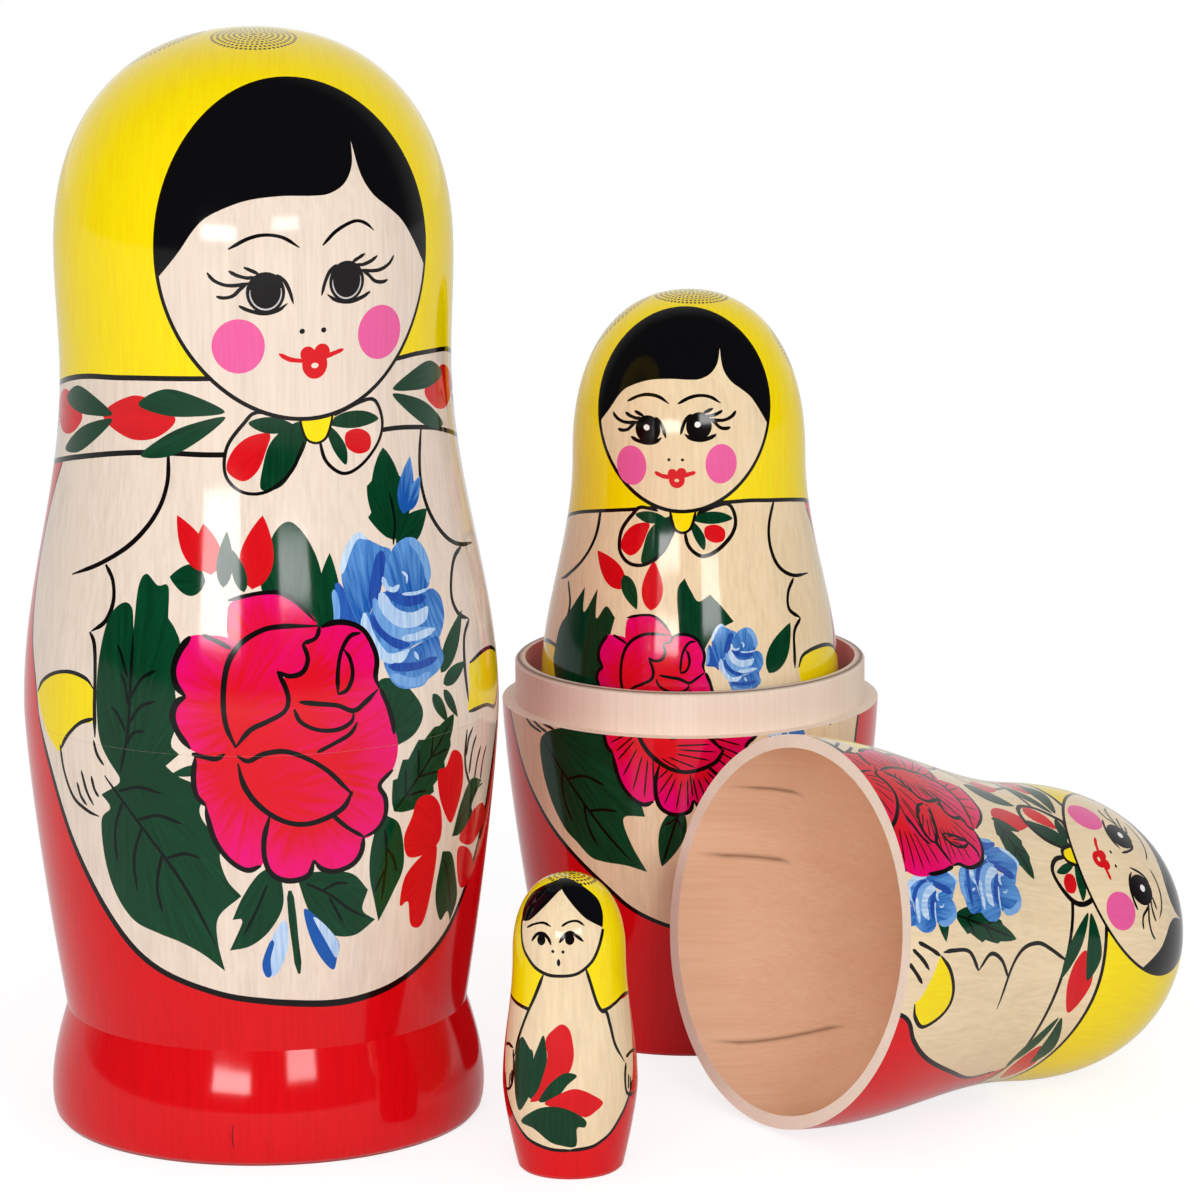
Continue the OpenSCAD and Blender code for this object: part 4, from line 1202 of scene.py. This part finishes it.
def turned_blank(name, rim, rings, wood, front, worn_ring=None, cracks=()):
    """The bare wood of one half, drawn inwards from its rim ring by ring. Its flat rim is the paler wood."""
    count = len(rim)
    mesh = bpy.data.meshes.new(name)
    mesh.from_pydata((rim * MM).tolist(), [(i, (i + 1) % count) for i in range(count)], [])
    piece = bpy.data.objects.new(name, mesh)
    bpy.context.collection.objects.link(piece)
    only(piece)
    bpy.ops.object.mode_set(mode="EDIT")
    bpy.ops.mesh.select_all(action="SELECT")
    for (r0, z0), (r1, z1) in zip(rings, rings[1:]):
        bpy.ops.mesh.extrude_edges_move(TRANSFORM_OT_translate={"value": (0, 0, (z1 - z0) * MM)})
        bpy.ops.transform.resize(value=(r1 / r0, r1 / r0, 1), center_override=(0, 0, 0))
    bpy.ops.mesh.extrude_edges_move(TRANSFORM_OT_translate={"value": (0, 0, 0)})
    bpy.ops.mesh.merge(type="CENTER")
    bpy.ops.object.mode_set(mode="OBJECT")
    total = len(mesh.vertices)
    places = np.zeros(total * 3)
    mesh.vertices.foreach_get("co", places)
    places = places.reshape(-1, 3) / MM
    mesh.attributes.new("grain", "FLOAT_VECTOR", "POINT").data.foreach_set("vector", places.ravel())
    level = np.arange(total) // count
    wear = np.where(level == worn_ring, 1.0, 0.0) if worn_ring else np.zeros(total)
    degrees = np.degrees(np.arctan2(places[:, 0], -places[:, 1]))
    for at, first, last in cracks:
        column = degrees[np.argmin(np.abs(wrapped(degrees[:count] - at)))]
        on_crack = (np.abs(wrapped(degrees - column)) < CRACK_DEGREES) & (level >= first) & (level <= last)
        wear[on_crack] = CRACK_WEAR
    mesh.attributes.new("wear", "FLOAT", "POINT").data.foreach_set("value", wear)
    corners = np.zeros(len(mesh.loops), np.int32)
    mesh.loops.foreach_get("vertex_index", corners)
    starts = np.zeros(len(mesh.polygons), np.int32)
    mesh.polygons.foreach_get("loop_start", starts)
    flat_rim = np.maximum.reduceat(level[corners], starts) <= 1
    u = spread(wrapped(degrees[corners] - front))
    v = WOOD_V[0] + (WOOD_V[1] - WOOD_V[0]) * level[corners] / level.max()
    layer = mesh.uv_layers.new(name="OFBake")
    layer.uv.foreach_set("vector", np.column_stack([u, v]).ravel())
    mesh.materials.append(wood)
    if wood is not bare:
        mesh.materials.append(bare)
        mesh.polygons.foreach_set("material_index", flat_rim.astype(np.int32))
    return piece


CREASE = math.radians(38)


def finish_half(skin, blank, name, place):
    """Joins the painted outside to the bare inside and sets the half in its place."""
    only(skin)
    blank.select_set(True)
    bpy.ops.object.join()
    bpy.ops.object.mode_set(mode="EDIT")
    bpy.ops.mesh.select_all(action="SELECT")
    bpy.ops.mesh.remove_doubles(threshold=WELD)
    bpy.ops.mesh.normals_make_consistent(inside=False)
    bpy.ops.object.mode_set(mode="OBJECT")
    bpy.ops.object.shade_smooth_by_angle(angle=CREASE)
    mesh = skin.data
    normals = np.zeros(len(mesh.loops) * 3)
    mesh.attributes["turned_normal"].data.foreach_get("vector", normals)
    mesh.normals_split_custom_set(normals.reshape(-1, 3).tolist())
    mesh.attributes.remove(mesh.attributes["turned_normal"])
    mesh.transform(place)
    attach(skin, name)
    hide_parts(name)


def turn_base(name, doll, art, front, place):
    side = Side(doll.lower_side())
    skin, rim = painted_skin(name + "_painted", side, art, "base", DRESS, SKIN_STEP, front)
    blank = turned_blank(name + "_bare", rim, doll.base_inside(), bare, front, COLLAR_EDGE_RING)
    finish_half(skin, blank, name, place)


def turn_top(name, doll, art, front, place, wood=bare, cracks=()):
    side = Side([doll.upper_side(doll.seam_z + SEAM_GAP)])
    skin, rim = painted_skin(name + "_painted", side, art, "top", DRESS, SKIN_STEP, front)
    blank = turned_blank(name + "_bare", rim, doll.top_inside(), wood, front, None, cracks)
    finish_half(skin, blank, name, place)


here = Matrix.Identity(4)
LARGE_BASE_FRONT = 12
LARGE_TOP_FRONT = 16
turn_base("large_base", large, large_art, LARGE_BASE_FRONT, here)
turn_top("large_top", large, large_art, LARGE_TOP_FRONT, here)

# Second doll. It is pulled open: the base stands behind with its bare collar showing, and the top lies
# on its side in front, showing its socket. Both are turned, painted and lacquered like the large doll.
third = second.nested(2.4, 1.5, INNER_SHARES).hollow(5, 1.9, 1.5, 5.5, 2.8, 4)
second_art = Painting(second, WARM_WOOD, 0.5)
SECOND_LEFT = [(-72, 88), (-85, 80), (-91, 72), (-92, 66), (-88, 60), (-83, 55), (-73, 44), (-63, 37.5),
               (-53, 33), (-38, 27.5), (-28, 24), (-14, 21.5), (0, 21)]
SECOND_RIGHT = [(0, 21), (13, 21.6), (25, 23.5), (36, 28), (46, 36), (51, 45), (54, 53), (62, 56.4),
                (69, 60.6), (79, 69), (89, 76.6), (90, 82), (80, 90)]
dress_front(second_art, SECOND_LEFT, SECOND_RIGHT)
second_art.line(SECOND_LEFT[1:], SECOND_RIGHT[:-1], width=0.7, thin=(0.6, 0.8))
SECOND_CUFF = [(36, 58.1), (40, 60.2), (46, 61.6), (51, 61.5), (55, 59.9), (57.5, 57.1), (54, 55), (50, 54.3),
               (48, 55.3), (41, 57)]
second_art.fill(SECOND_CUFF, colour=SCARF)
second_art.fill([(-d, z) for d, z in SECOND_CUFF], colour=SCARF)
SECOND_SLEEVE = [[(40, 87), (35, 82.9), (33, 80.1), (35, 76.6), (42, 74.2), (55, 72.9)],
                 [(44, 73.8), (38, 71.7), (36, 69), (41, 66.6)],
                 [(41, 66.6), (35, 64.1), (34.5, 60.6), (35, 58.5)],
                 [(36, 58.1), (40, 60.2), (46, 61.6), (51, 61.5), (55, 59.9), (57.5, 57.1), (54, 55),
                  (50, 54.3)],
                 [(32, 53.5), (34, 56), (36, 58)], [(34, 52.5), (37, 54.5), (40, 56)],
                 [(38, 52), (41, 53.6), (44, 55)]]
for points in SECOND_SLEEVE:
    second_art.line(points, [(-d, z) for d, z in points], width=0.62)
second_art.line([(-70, 53), (-66, 51.4), (-60, 50.6)], [(-66, 53), (-62, 51.6), (-57, 50.8)],
                [(-62, 53), (-58, 52), (-54, 51.6)], width=0.5)
SECOND_LEAF = [[(-35, 53), (-48, 52.5), (-60, 50), (-61, 45), (-58, 40), (-53, 36), (-48, 34), (-43, 32),
                (-38, 31.5), (-30, 31.3), (-23, 30.5)],
               [(-23, 30.5), (-28, 35), (-30, 39), (-23, 39.5)],
               [(-23, 39.5), (-25, 43), (-28, 46), (-29, 50), (-35, 53)]]
second_art.fill(*SECOND_LEAF, colour=GREEN, root=(-55, 52), reach=20)
second_art.line([(-60, 50), (-48, 43), (-36, 36), (-28, 32)], [(-52, 45.4), (-52, 41), (-49, 37)],
                [(-44, 41), (-43, 37), (-40, 34)], [(-50, 44), (-43, 45), (-36, 44)],
                [(-42, 39.5), (-37, 40), (-32, 40)], width=0.45, colour=VEIN)
# Leaves and buds: stalk, tip, width, colour, teeth, veins
for row in (((-12, 41), (-18, 31.5), 4, GREEN, 0, 1), ((8, 40), (16, 31), 4, GREEN, 0, 1),
            ((-60, 62), (-44, 66), 5, GREEN, 0, 2), ((-30, 75), (-24, 84), 4, GREEN, 0, 1),
            ((-12, 76), (10, 80.5), 5.6, GREEN, 4, 2), ((24, 61), (31, 75), 5, GREEN, 4, 2),
            ((22, 58), (32, 59), 2.2), ((-14, 76), (-15, 85), 4.6, BUD_RED), ((-12.5, 75.5), (-9, 81), 1.8),
            ((-34, 78), (-36, 84), 3.6, BUD_RED), ((24, 44), (40, 40), 5, BUD_RED),
            ((24, 44), (32, 34), 4.4, BUD_RED), ((24, 45), (37, 49), 4.4, BUD_RED)):
    leaf(second_art, *row)
blue_rose(second_art, 15, 72, 0.66)
blue_rose(second_art, 21, 57.4, 0.55)
rose(second_art, -14.5, 58, 0.8, True)
SECOND_LOW = [(-170, 79), (-140, 80), (-115, 82), (-89, 84), (-64, 85), (-39, 86.8), (-19, 88.1), (0, 88.4),
              (19, 88.1), (39, 86.8), (64, 85), (89, 84), (115, 82), (140, 80), (165, 79)]
SECOND_HIGH = [(-170, 86), (-140, 87.2), (-115, 89), (-89, 90.9), (-54, 93.9), (-28, 94.6), (0, 95),
               (28, 94.6), (54, 93.9), (89, 90.9), (115, 89), (140, 87.2), (165, 86)]
scarf(second_art, SECOND_LOW, SECOND_HIGH, 0.62)
garland(second_art, [(-22, 91.4), (-63, 88.6), (-104, 86.2), (-146, 83.6)], -1, 0.75, 6)
garland(second_art, [(22, 91.4), (63, 88.6), (104, 86.2), (146, 83.6)], 1, 0.75, 6)
bow(second_art, -1, 89.9, 0.72, 0.8)
face(second_art, 0, 105.2, 15.25, 14.3, 0.0, 0.0, -0.17, 0.17, 0.62, 0.155, 1.1, False)
ornament(second_art, second_art.overhead(0.5, -1.5), 7, 0.8)
for at_degrees, at_z in ((-95, 113), (95, 113), (180, 112), (-135, 99), (135, 99)):
    ornament(second_art, second_art.spot(at_degrees, at_z), 6, 0.8)
for at_degrees in (-106, 106):
    ornament(second_art, second_art.spot(at_degrees, 67), 6, 0.8, DOT_DARK)

SECOND_PLACE = Vector((64.3169, 46.7289, 0)) * MM
SECOND_TURN = 8
SECOND_FRONT = 0
turn_base("second_base", second, second_art, SECOND_FRONT,
          Matrix.Translation(SECOND_PLACE) @ Matrix.Rotation(math.radians(SECOND_TURN), 4, "Z"))

FALLEN_PLACE = Vector((77.8139, -11.7333, 29.5841)) * MM
FALLEN_DIP = 9.08207
FALLEN_HEADING = 35
FALLEN_ROLL = -41
fallen = (Matrix.Translation(FALLEN_PLACE) @ Matrix.Rotation(math.radians(FALLEN_HEADING), 4, "Z")
          @ Matrix.Rotation(math.radians(90 + FALLEN_DIP), 4, "Y")
          @ Matrix.Translation((0, 0, -second.seam_z * MM))
          @ Matrix.Rotation(math.radians(FALLEN_ROLL), 4, "Z"))
inside_wood = bare_wood("bare_socket_wood", "#fcd9ba", "#efbf99")
# Three drying cracks in the socket: degrees round the doll, first ring, last ring
SOCKET_CRACKS = ((-99, 2, 4), (-125, 2, 5), (172, 2, 7))
turn_top("second_top", second, second_art, SECOND_FRONT, fallen, inside_wood,
         SOCKET_CRACKS)

# Third doll. It stands closed in the second doll's base. Turned and painted the same way, with a plainer
# scarf; the hidden fourth and fifth dolls nest inside it and take its design at their own size.
fourth = third.nested(1.2, 16, INNER_SHARES).hollow(4.5, 1.8, 1.4, 5, 2.4, 3.5)
fifth = fourth.nested(1.4, 13, INNER_SHARES).hollow(4, 1.6, 1.3, 4.5, 2.1, 3)
smallest = fifth.nested(1.3, 12, SMALLEST_SHARES)
THIRD_LOW = [(-168, 65.2), (-140, 66.7), (-110, 70.2), (-90, 73.5), (-68, 75.7), (-50, 76.9), (-30, 77.9),
             (-3, 79), (25, 79.2), (40, 78.8), (60, 77.9), (80, 76.5), (100, 73.8), (125, 69.2), (155, 65.8)]
# The large doll's dress on the third: turned, smaller, and with its seam at another height
INNER_TURN = 17
INNER_SHARE = 0.7
INNER_SEAM_Z = 48
INNER_LINE = 0.6
INNER_FACE_LINE = 1.25


def inner_design(art, line):
    """The third doll's painting, which the fourth and fifth repeat."""
    def lower(points):
        return [(d - INNER_TURN, (z - large.seam_z) * INNER_SHARE + INNER_SEAM_Z) for d, z in points]

    left = lower(DRESS_LEFT)
    right = lower(DRESS_RIGHT)
    dress_front(art, left, right)
    art.line(left[1:], right[:-1], width=line, thin=(0.6, 0.8))
    cuff_right = [(46, 53), (50, 54.8), (62, 55.2), (74, 54.3), (84, 52), (80, 48.5), (66, 48.2), (50, 49)]
    for cuff in (cuff_right, [(-12 - d, z) for d, z in cuff_right]):
        art.fill(cuff, colour=SCARF)
        art.line(cuff[:5], cuff[5:], width=line)
    art.line([(-48, 78), (-50, 73), (-57, 69), (-68, 66), (-75, 65)],
             [(-66, 65.3), (-61, 62.5), (-61, 60), (-65, 58)], [(-65, 58), (-60, 56), (-58, 53)],
             [(45, 79), (40, 75), (39.5, 71.5), (43, 68.5), (51, 66.8), (63, 66.4)],
             [(51, 66.4), (46, 64.5), (45, 62), (51, 60.3)], [(51, 60.3), (46, 58.5), (44.5, 55), (44, 53)],
             [(48, 45), (50, 48)], [(53, 43.5), (55, 46.5)], [(58, 43), (60, 46)],
             [(-60, 45), (-62, 48)], [(-65, 43.5), (-67, 46.5)], width=line)
    art.fill([(-68, 53), (-66, 58), (-60, 61), (-52, 65.2)], [(-52, 65.2), (-50, 61.5), (-44, 65.4)],
             [(-44, 65.4), (-42.5, 61), (-38, 63), (-33, 61.5)],
             [(-33, 61.5), (-36, 56), (-40, 50), (-50, 48), (-62, 49), (-68, 53)], colour=GREEN)
    leaf(art, (-30, 45), (-55, 36), 6, veins=2)
    leaf(art, (-28, 44), (-36, 32), 5, veins=2)
    leaf(art, (0, 43), (14, 35), 5, veins=2)
    leaf(art, (-12, 41), (-16, 31), 4, veins=1)
    art.fill([(-5, 60), (-6, 66), (-3, 68)], [(-3, 68), (0, 66), (3, 64.5), (8, 65.5)],
             [(8, 65.5), (13, 63.5), (17.5, 61.3)],
             [(17.5, 61.3), (10, 60), (6, 58), (2, 55), (-3, 56), (-5, 60)], colour=GREEN)
    leaf(art, (31, 53), (44, 60), 3.8)
    leaf(art, (-30, 66), (-47, 71), 3.6, BUD_RED)
    leaf(art, (-17, 63), (-17, 70.5), 3.4, BUD_RED)
    leaf(art, (-31, 68), (-23, 63), 2.4)
    for tip in ((30, 49), (18, 43), (28, 36), (40, 41)):
        leaf(art, (28, 43), tip, 3.2, BUD_RED)
    leaf(art, (31, 45), (42, 46), 2.4)
    blue_rose(art, 20, 57, 0.46)
    rose(art, -16, 51, 0.57)
    art.ribbon(art.all_above(THIRD_LOW, SCARF), line, INK, EVEN_ENDS)
    bow(art, -4, 76.2, 0.76, line)
    face(art, -4.3, 92.8, 13, 14.8, -0.1, -0.07, -0.14, 0.17, line * INNER_FACE_LINE, 0.15, 1.3, False)
    for x, y in ((0.5, -0.3), (-10.6, 3)):
        ornament(art, art.overhead(x, y), 8, 0.74)
    for d, z in ((95, 100), (180, 98), (-130, 85), (130, 85)):
        ornament(art, art.spot(d, z), 6, 0.74)


third_art = Painting(third, WARM_WOOD, 0.45)
inner_design(third_art, INNER_LINE)
THIRD_Z = 7
INNER_FRONT = -6
third_place = Matrix.Translation(SECOND_PLACE + Vector((0, 0, THIRD_Z * MM)))
turn_base("third_base", third, third_art, INNER_FRONT, third_place)
turn_top("third_top", third, third_art, INNER_FRONT, third_place)

# Fourth and fifth dolls. Both stay closed inside the third and come out after one another. They are
# turned and painted like it, so they repeat its design, smaller.
FOURTH_Z = 12
FIFTH_Z = 16.5
for inner, label, stand_z in ((fourth, "fourth", FOURTH_Z), (fifth, "fifth", FIFTH_Z)):
    inner_art = Painting(inner, WARM_WOOD, 0.5, inner.crown_z / third.crown_z)
    inner_design(inner_art, INNER_LINE)
    inner_place = Matrix.Translation(SECOND_PLACE + Vector((0, 0, stand_z * MM)))
    turn_base(label + "_base", inner, inner_art, INNER_FRONT, inner_place)
    turn_top(label + "_top", inner, inner_art, INNER_FRONT, inner_place)

# Smallest doll. Solid, turned in one piece, with the plainest painting of the set: a yellow scarf, two
# hands and one flower. It stands free in front of the others.
smallest_art = Painting(smallest, WARM_WOOD, 0.35)
SMALL_LEFT = [(-90, 26.2), (-82, 22), (-78, 18), (-74, 15), (-71, 13), (-68, 11), (-60, 8.5), (-50, 6.7),
              (-40, 5.7), (-20, 4.9), (0, 4.8)]
SMALL_RIGHT = [(0, 4.8), (20, 5.2), (30, 5.9), (40, 7), (50, 9), (58, 11), (66, 14), (72, 18), (78, 22),
               (84, 26.2)]
dress_front(smallest_art, SMALL_LEFT, SMALL_RIGHT)
smallest_art.line(SMALL_LEFT[3:], SMALL_RIGHT[:-3], width=0.55, thin=(0.7, 0.7))
SMALL_LINE = [(-172, 22.5), (-130, 23.5), (-110, 25), (-90, 26.2), (-60, 25.7), (-40, 25.4), (0, 25.2),
              (35, 25.4), (50, 26), (68, 26.7), (90, 26), (120, 24.5), (150, 23)]
smallest_art.ribbon(smallest_art.all_above(SMALL_LINE, SCARF), 0.52, INK, EVEN_ENDS)
ornament(smallest_art, smallest_art.overhead(0.5, 0), 5, 0.75)
smallest_art.fill([(-27, 30.9), (-36, 27.5), (-45, 24.5)], [(-45, 24.5), (-10, 22), (33, 25)],
                  [(33, 25.2), (28, 26.5), (22, 29.5), (17, 32)], [(17, 32), (-5, 31), (-27, 31)],
                  colour=WARM_WOOD)
smallest_art.line([(-27, 30.8), (-36, 27.5), (-45, 24.5), (-53, 21), (-57, 18)],
                  [(17, 31.9), (22, 29.5), (28, 26.5), (33, 25.3), (38, 25), (41, 23), (45, 20), (55, 17.2)],
                  [(-78, 19), (-70, 19.4), (-60, 19.2)], [(58, 17.8), (68, 18.2), (80, 18)],
                  [(-60, 19), (-57, 16.5), (-59, 14), (-66, 12.8), (-72, 13)],
                  [(57, 17), (54.5, 15), (56, 12.7), (65, 11.9), (72, 12.1)], width=0.52)
smallest_art.line([(-64, 13.4), (-62, 15.5)], [(-60.5, 14), (-59.5, 16)], [(59, 13), (60, 15.2)],
                  [(62, 12.8), (63, 14.8)], width=0.38)
SMALL_FACE = [(-65, 38), (-55, 34.5), (-45, 32.8), (-35, 31.6), (-22, 30.9), (-10, 30.8), (5, 31), (15, 31.7),
              (25, 33), (33, 35), (40, 37.2)]
SMALL_HAIR = [(40, 37.4), (22, 38.8), (12, 40), (0, 41.5), (-13, 42.7)]
SMALL_HAIR_LEFT = [(-13, 42.7), (-20, 42.2), (-35, 40.2), (-50, 38.3), (-65, 37.8)]
SMALL_HAIR_TOP = [(-65, 37.8), (-72, 39.8), (-70, 41.9), (-40, 43.5), (-13, 43.8), (20, 43.5), (44, 41.7),
                  (46, 39.8), (40, 37.4)]
smallest_art.fill(SMALL_FACE, SMALL_HAIR_TOP[::-1], colour=WARM_WOOD)
smallest_art.fill(SMALL_HAIR, SMALL_HAIR_LEFT, SMALL_HAIR_TOP, colour=HAIR)
smallest_art.line(SMALL_FACE, width=0.5, thin=(0.9, 0.9))
smallest_art.line([(-52, 37.2), (-42, 37.9), (-30, 38.3), (-20, 37.9)],
                  [(-8, 38), (0, 38.6), (10, 38.7), (18, 38)], width=0.36)
smallest_art.line([(-42, 35.5), (-36, 36.6), (-28, 36.8), (-22, 36.2), (-18.5, 35.3)],
                  [(-10, 35.7), (-4, 36.8), (2, 37.2), (8, 36.7), (15.5, 35.8)], width=0.5)
for at_degrees, at_z in ((-30, 35.9), (1, 36.2)):
    smallest_art.oval(smallest_art.spot(at_degrees, at_z), 0, 0, 0.7, 0.82, INK, 14)
for at_degrees in (-16.5, -6):
    smallest_art.oval(smallest_art.spot(at_degrees, 34.4), 0, 0, 0.25, 0.25, INK, 8)
smallest_art.oval(smallest_art.spot(-10.5, 32.8), 0, 0, 0.27, 0.55, INK, 12)
# The one flower: leaves and petals from the first laid to the last
for tint, outline in (
        (GREEN, [(-51, 10.2), (-55, 14), (-56, 17.5), (-54, 20), (-49, 21.2), (-45, 21), (-38, 19.8),
                 (-34, 19.2), (-33, 15), (-38, 12.5)]),
        (GREEN, [(-38, 13), (-34, 18), (-29, 20.5), (-25, 22), (-22, 21), (-20, 18), (-23, 15), (-30, 12.7)]),
        (BUD_RED, [(-36, 12), (-28, 14), (-22, 17), (-20, 19), (-22, 21.5), (-15, 23), (-7, 23.8), (0, 23),
                   (3, 21), (3.5, 19), (0, 17), (-8, 15.5), (-20, 13)]),
        (GREEN, [(-27, 12.2), (-20, 14.5), (-10, 16.2), (-2, 16.8), (6, 16.3), (-2, 15), (-12, 13)]),
        (BUD_RED, [(-22, 12), (-10, 13.5), (0, 14.3), (8, 14.3), (18, 13.5), (29, 12), (22, 10.7), (14, 10),
                   (5, 10.5), (-8, 11.3)]),
        (GREEN, [(-50, 8.5), (-35, 10.5), (-22, 11.5), (-8, 11.6), (5, 10.7), (14, 9.4), (13, 8.4), (6, 8.3),
                 (5, 5.5), (-10, 5.6), (-20, 6.1), (-35, 7.8)])):
    smallest_art.fill(outline, colour=tint)

SMALLEST_PLACE = Vector((45.5449, -31.8908, 0)) * MM
foot_edge = straight(smallest.stand_r - EDGE, 0, smallest.stand_r, EDGE)
low_side = belly(smallest.stand_r, EDGE, smallest.seam_r, smallest.seam_z)
whole_side = np.concatenate([low_side, smallest.upper_side(smallest.seam_z)[1:]])
smallest_side = Side([foot_edge, whole_side])
smallest_art.seam_run = 0.0
SMALL_STEP = 0.8
SMALL_FRONT = -10
small_skin, small_rim = painted_skin("smallest_doll_painted", smallest_side, smallest_art, "top", DRESS,
                                     SMALL_STEP, SMALL_FRONT)
foot_rings = [(smallest.stand_r - EDGE, 0), (smallest.stand_r * 0.5, 0), (smallest.stand_r * 0.1, 0)]
small_blank = turned_blank("smallest_doll_bare", small_rim, foot_rings, bare, SMALL_FRONT)
finish_half(small_skin, small_blank, "smallest_doll", Matrix.Translation(SMALLEST_PLACE))

# Floor, lights and camera. A white sweep, two soft boxes beside the camera that show in the lacquer, a
# high one that doesn't show there, and a long lens from a little above.
FLOOR_SIZE = 8
FLOOR_WHITE = (0.9, 0.9, 0.9, 1)
FLOOR_GLOW = 1.25
FLOOR_SEEN = 0.65
FLOOR_MIRRORED = 0.4
WHITE_LIGHT = (1, 1, 1, 1)
bpy.ops.object.select_all(action="DESELECT")
bpy.ops.mesh.primitive_plane_add(size=FLOOR_SIZE, location=(0, 0, 0))
floor = bpy.context.object
floor.name = "floor"
ground = Finish(bpy.data.materials.new("floor_white"))
mirrored = ground.ray("Is Glossy Ray") * FLOOR_MIRRORED
seen = ground.ray("Is Camera Ray") + mirrored + ground.ray("Is Transmission Ray")
matt = ground.node("ShaderNodeBsdfDiffuse", {"Color": FLOOR_WHITE})
glow = ground.node("ShaderNodeEmission", {"Color": WHITE_LIGHT, "Strength": FLOOR_GLOW})
seen_floor = ground.node("ShaderNodeMixShader", {0: seen * FLOOR_SEEN, 1: matt, 2: glow})
ground.node("ShaderNodeOutputMaterial", {"Surface": seen_floor})
floor.data.materials.append(ground.owner)


LAMP_AIM = Vector((0.03, 0, 0.09))


def soft_box(name, degrees, height, distance, width, depth, watts):
    """A soft box that faces the dolls from a direction round the large one."""
    a = math.radians(degrees)
    at = Vector((distance * math.sin(a), -distance * math.cos(a), height))
    turn = (LAMP_AIM - at).to_track_quat("-Z", "Y").to_euler()
    bpy.ops.object.light_add(type="AREA", location=at, rotation=turn)
    lamp = bpy.context.object
    lamp.name = name
    lamp.data.shape = "RECTANGLE"
    lamp.data.size = width
    lamp.data.size_y = depth
    lamp.data.energy = watts
    return lamp


soft_box("left_box", -17, 0.265, 1.2, 0.42, 0.13, 3.4)
soft_box("right_box", 21, 0.34, 1.2, 0.33, 0.12, 2)
soft_box("high_box", 10, 0.9, 1.3, 1.2, 1.2, 4).visible_glossy = False

# The room: white to the camera, even light on the dolls, and in the lacquer white only beyond them
AMBIENT = 0.56
BEYOND_FROM = 0.2
BEYOND_SPAN = 0.6
MIRRORED_FRONT = 0.08
MIRRORED_RISE = 0.92
studio = Finish(bpy.data.worlds.new("studio"))
bpy.context.scene.world = studio.owner
seen = studio.ray("Is Camera Ray") + studio.ray("Is Transmission Ray")
beyond = studio.node("ShaderNodeSeparateXYZ", {0: studio.node("ShaderNodeTexCoord", {}, "Generated")}, "Y")
mirrored = ((beyond - BEYOND_FROM) / BEYOND_SPAN).clamped() * MIRRORED_RISE + MIRRORED_FRONT
strength = seen * (1 - AMBIENT) + studio.ray("Is Glossy Ray") * (mirrored - AMBIENT) + AMBIENT
white = studio.node("ShaderNodeBackground", {"Color": WHITE_LIGHT, "Strength": strength})
studio.node("ShaderNodeOutputWorld", {"Surface": white})

CAMERA_AT = Vector((50.4, -974.4, 288.0)) * MM
CAMERA_DOWN = 12.19
CAMERA_ROLL = -0.43
CAMERA_LENS = 201.7
CAMERA_SENSOR = 36
tilt = Matrix.Rotation(math.radians(90 - CAMERA_DOWN), 3, "X")
look = tilt @ Matrix.Rotation(math.radians(CAMERA_ROLL), 3, "Z")
bpy.ops.object.camera_add(location=CAMERA_AT, rotation=look.to_euler())
camera = bpy.context.object
camera.data.lens = CAMERA_LENS
camera.data.sensor_width = CAMERA_SENSOR
bpy.context.scene.camera = camera
bpy.context.scene.view_settings.view_transform = "Standard"
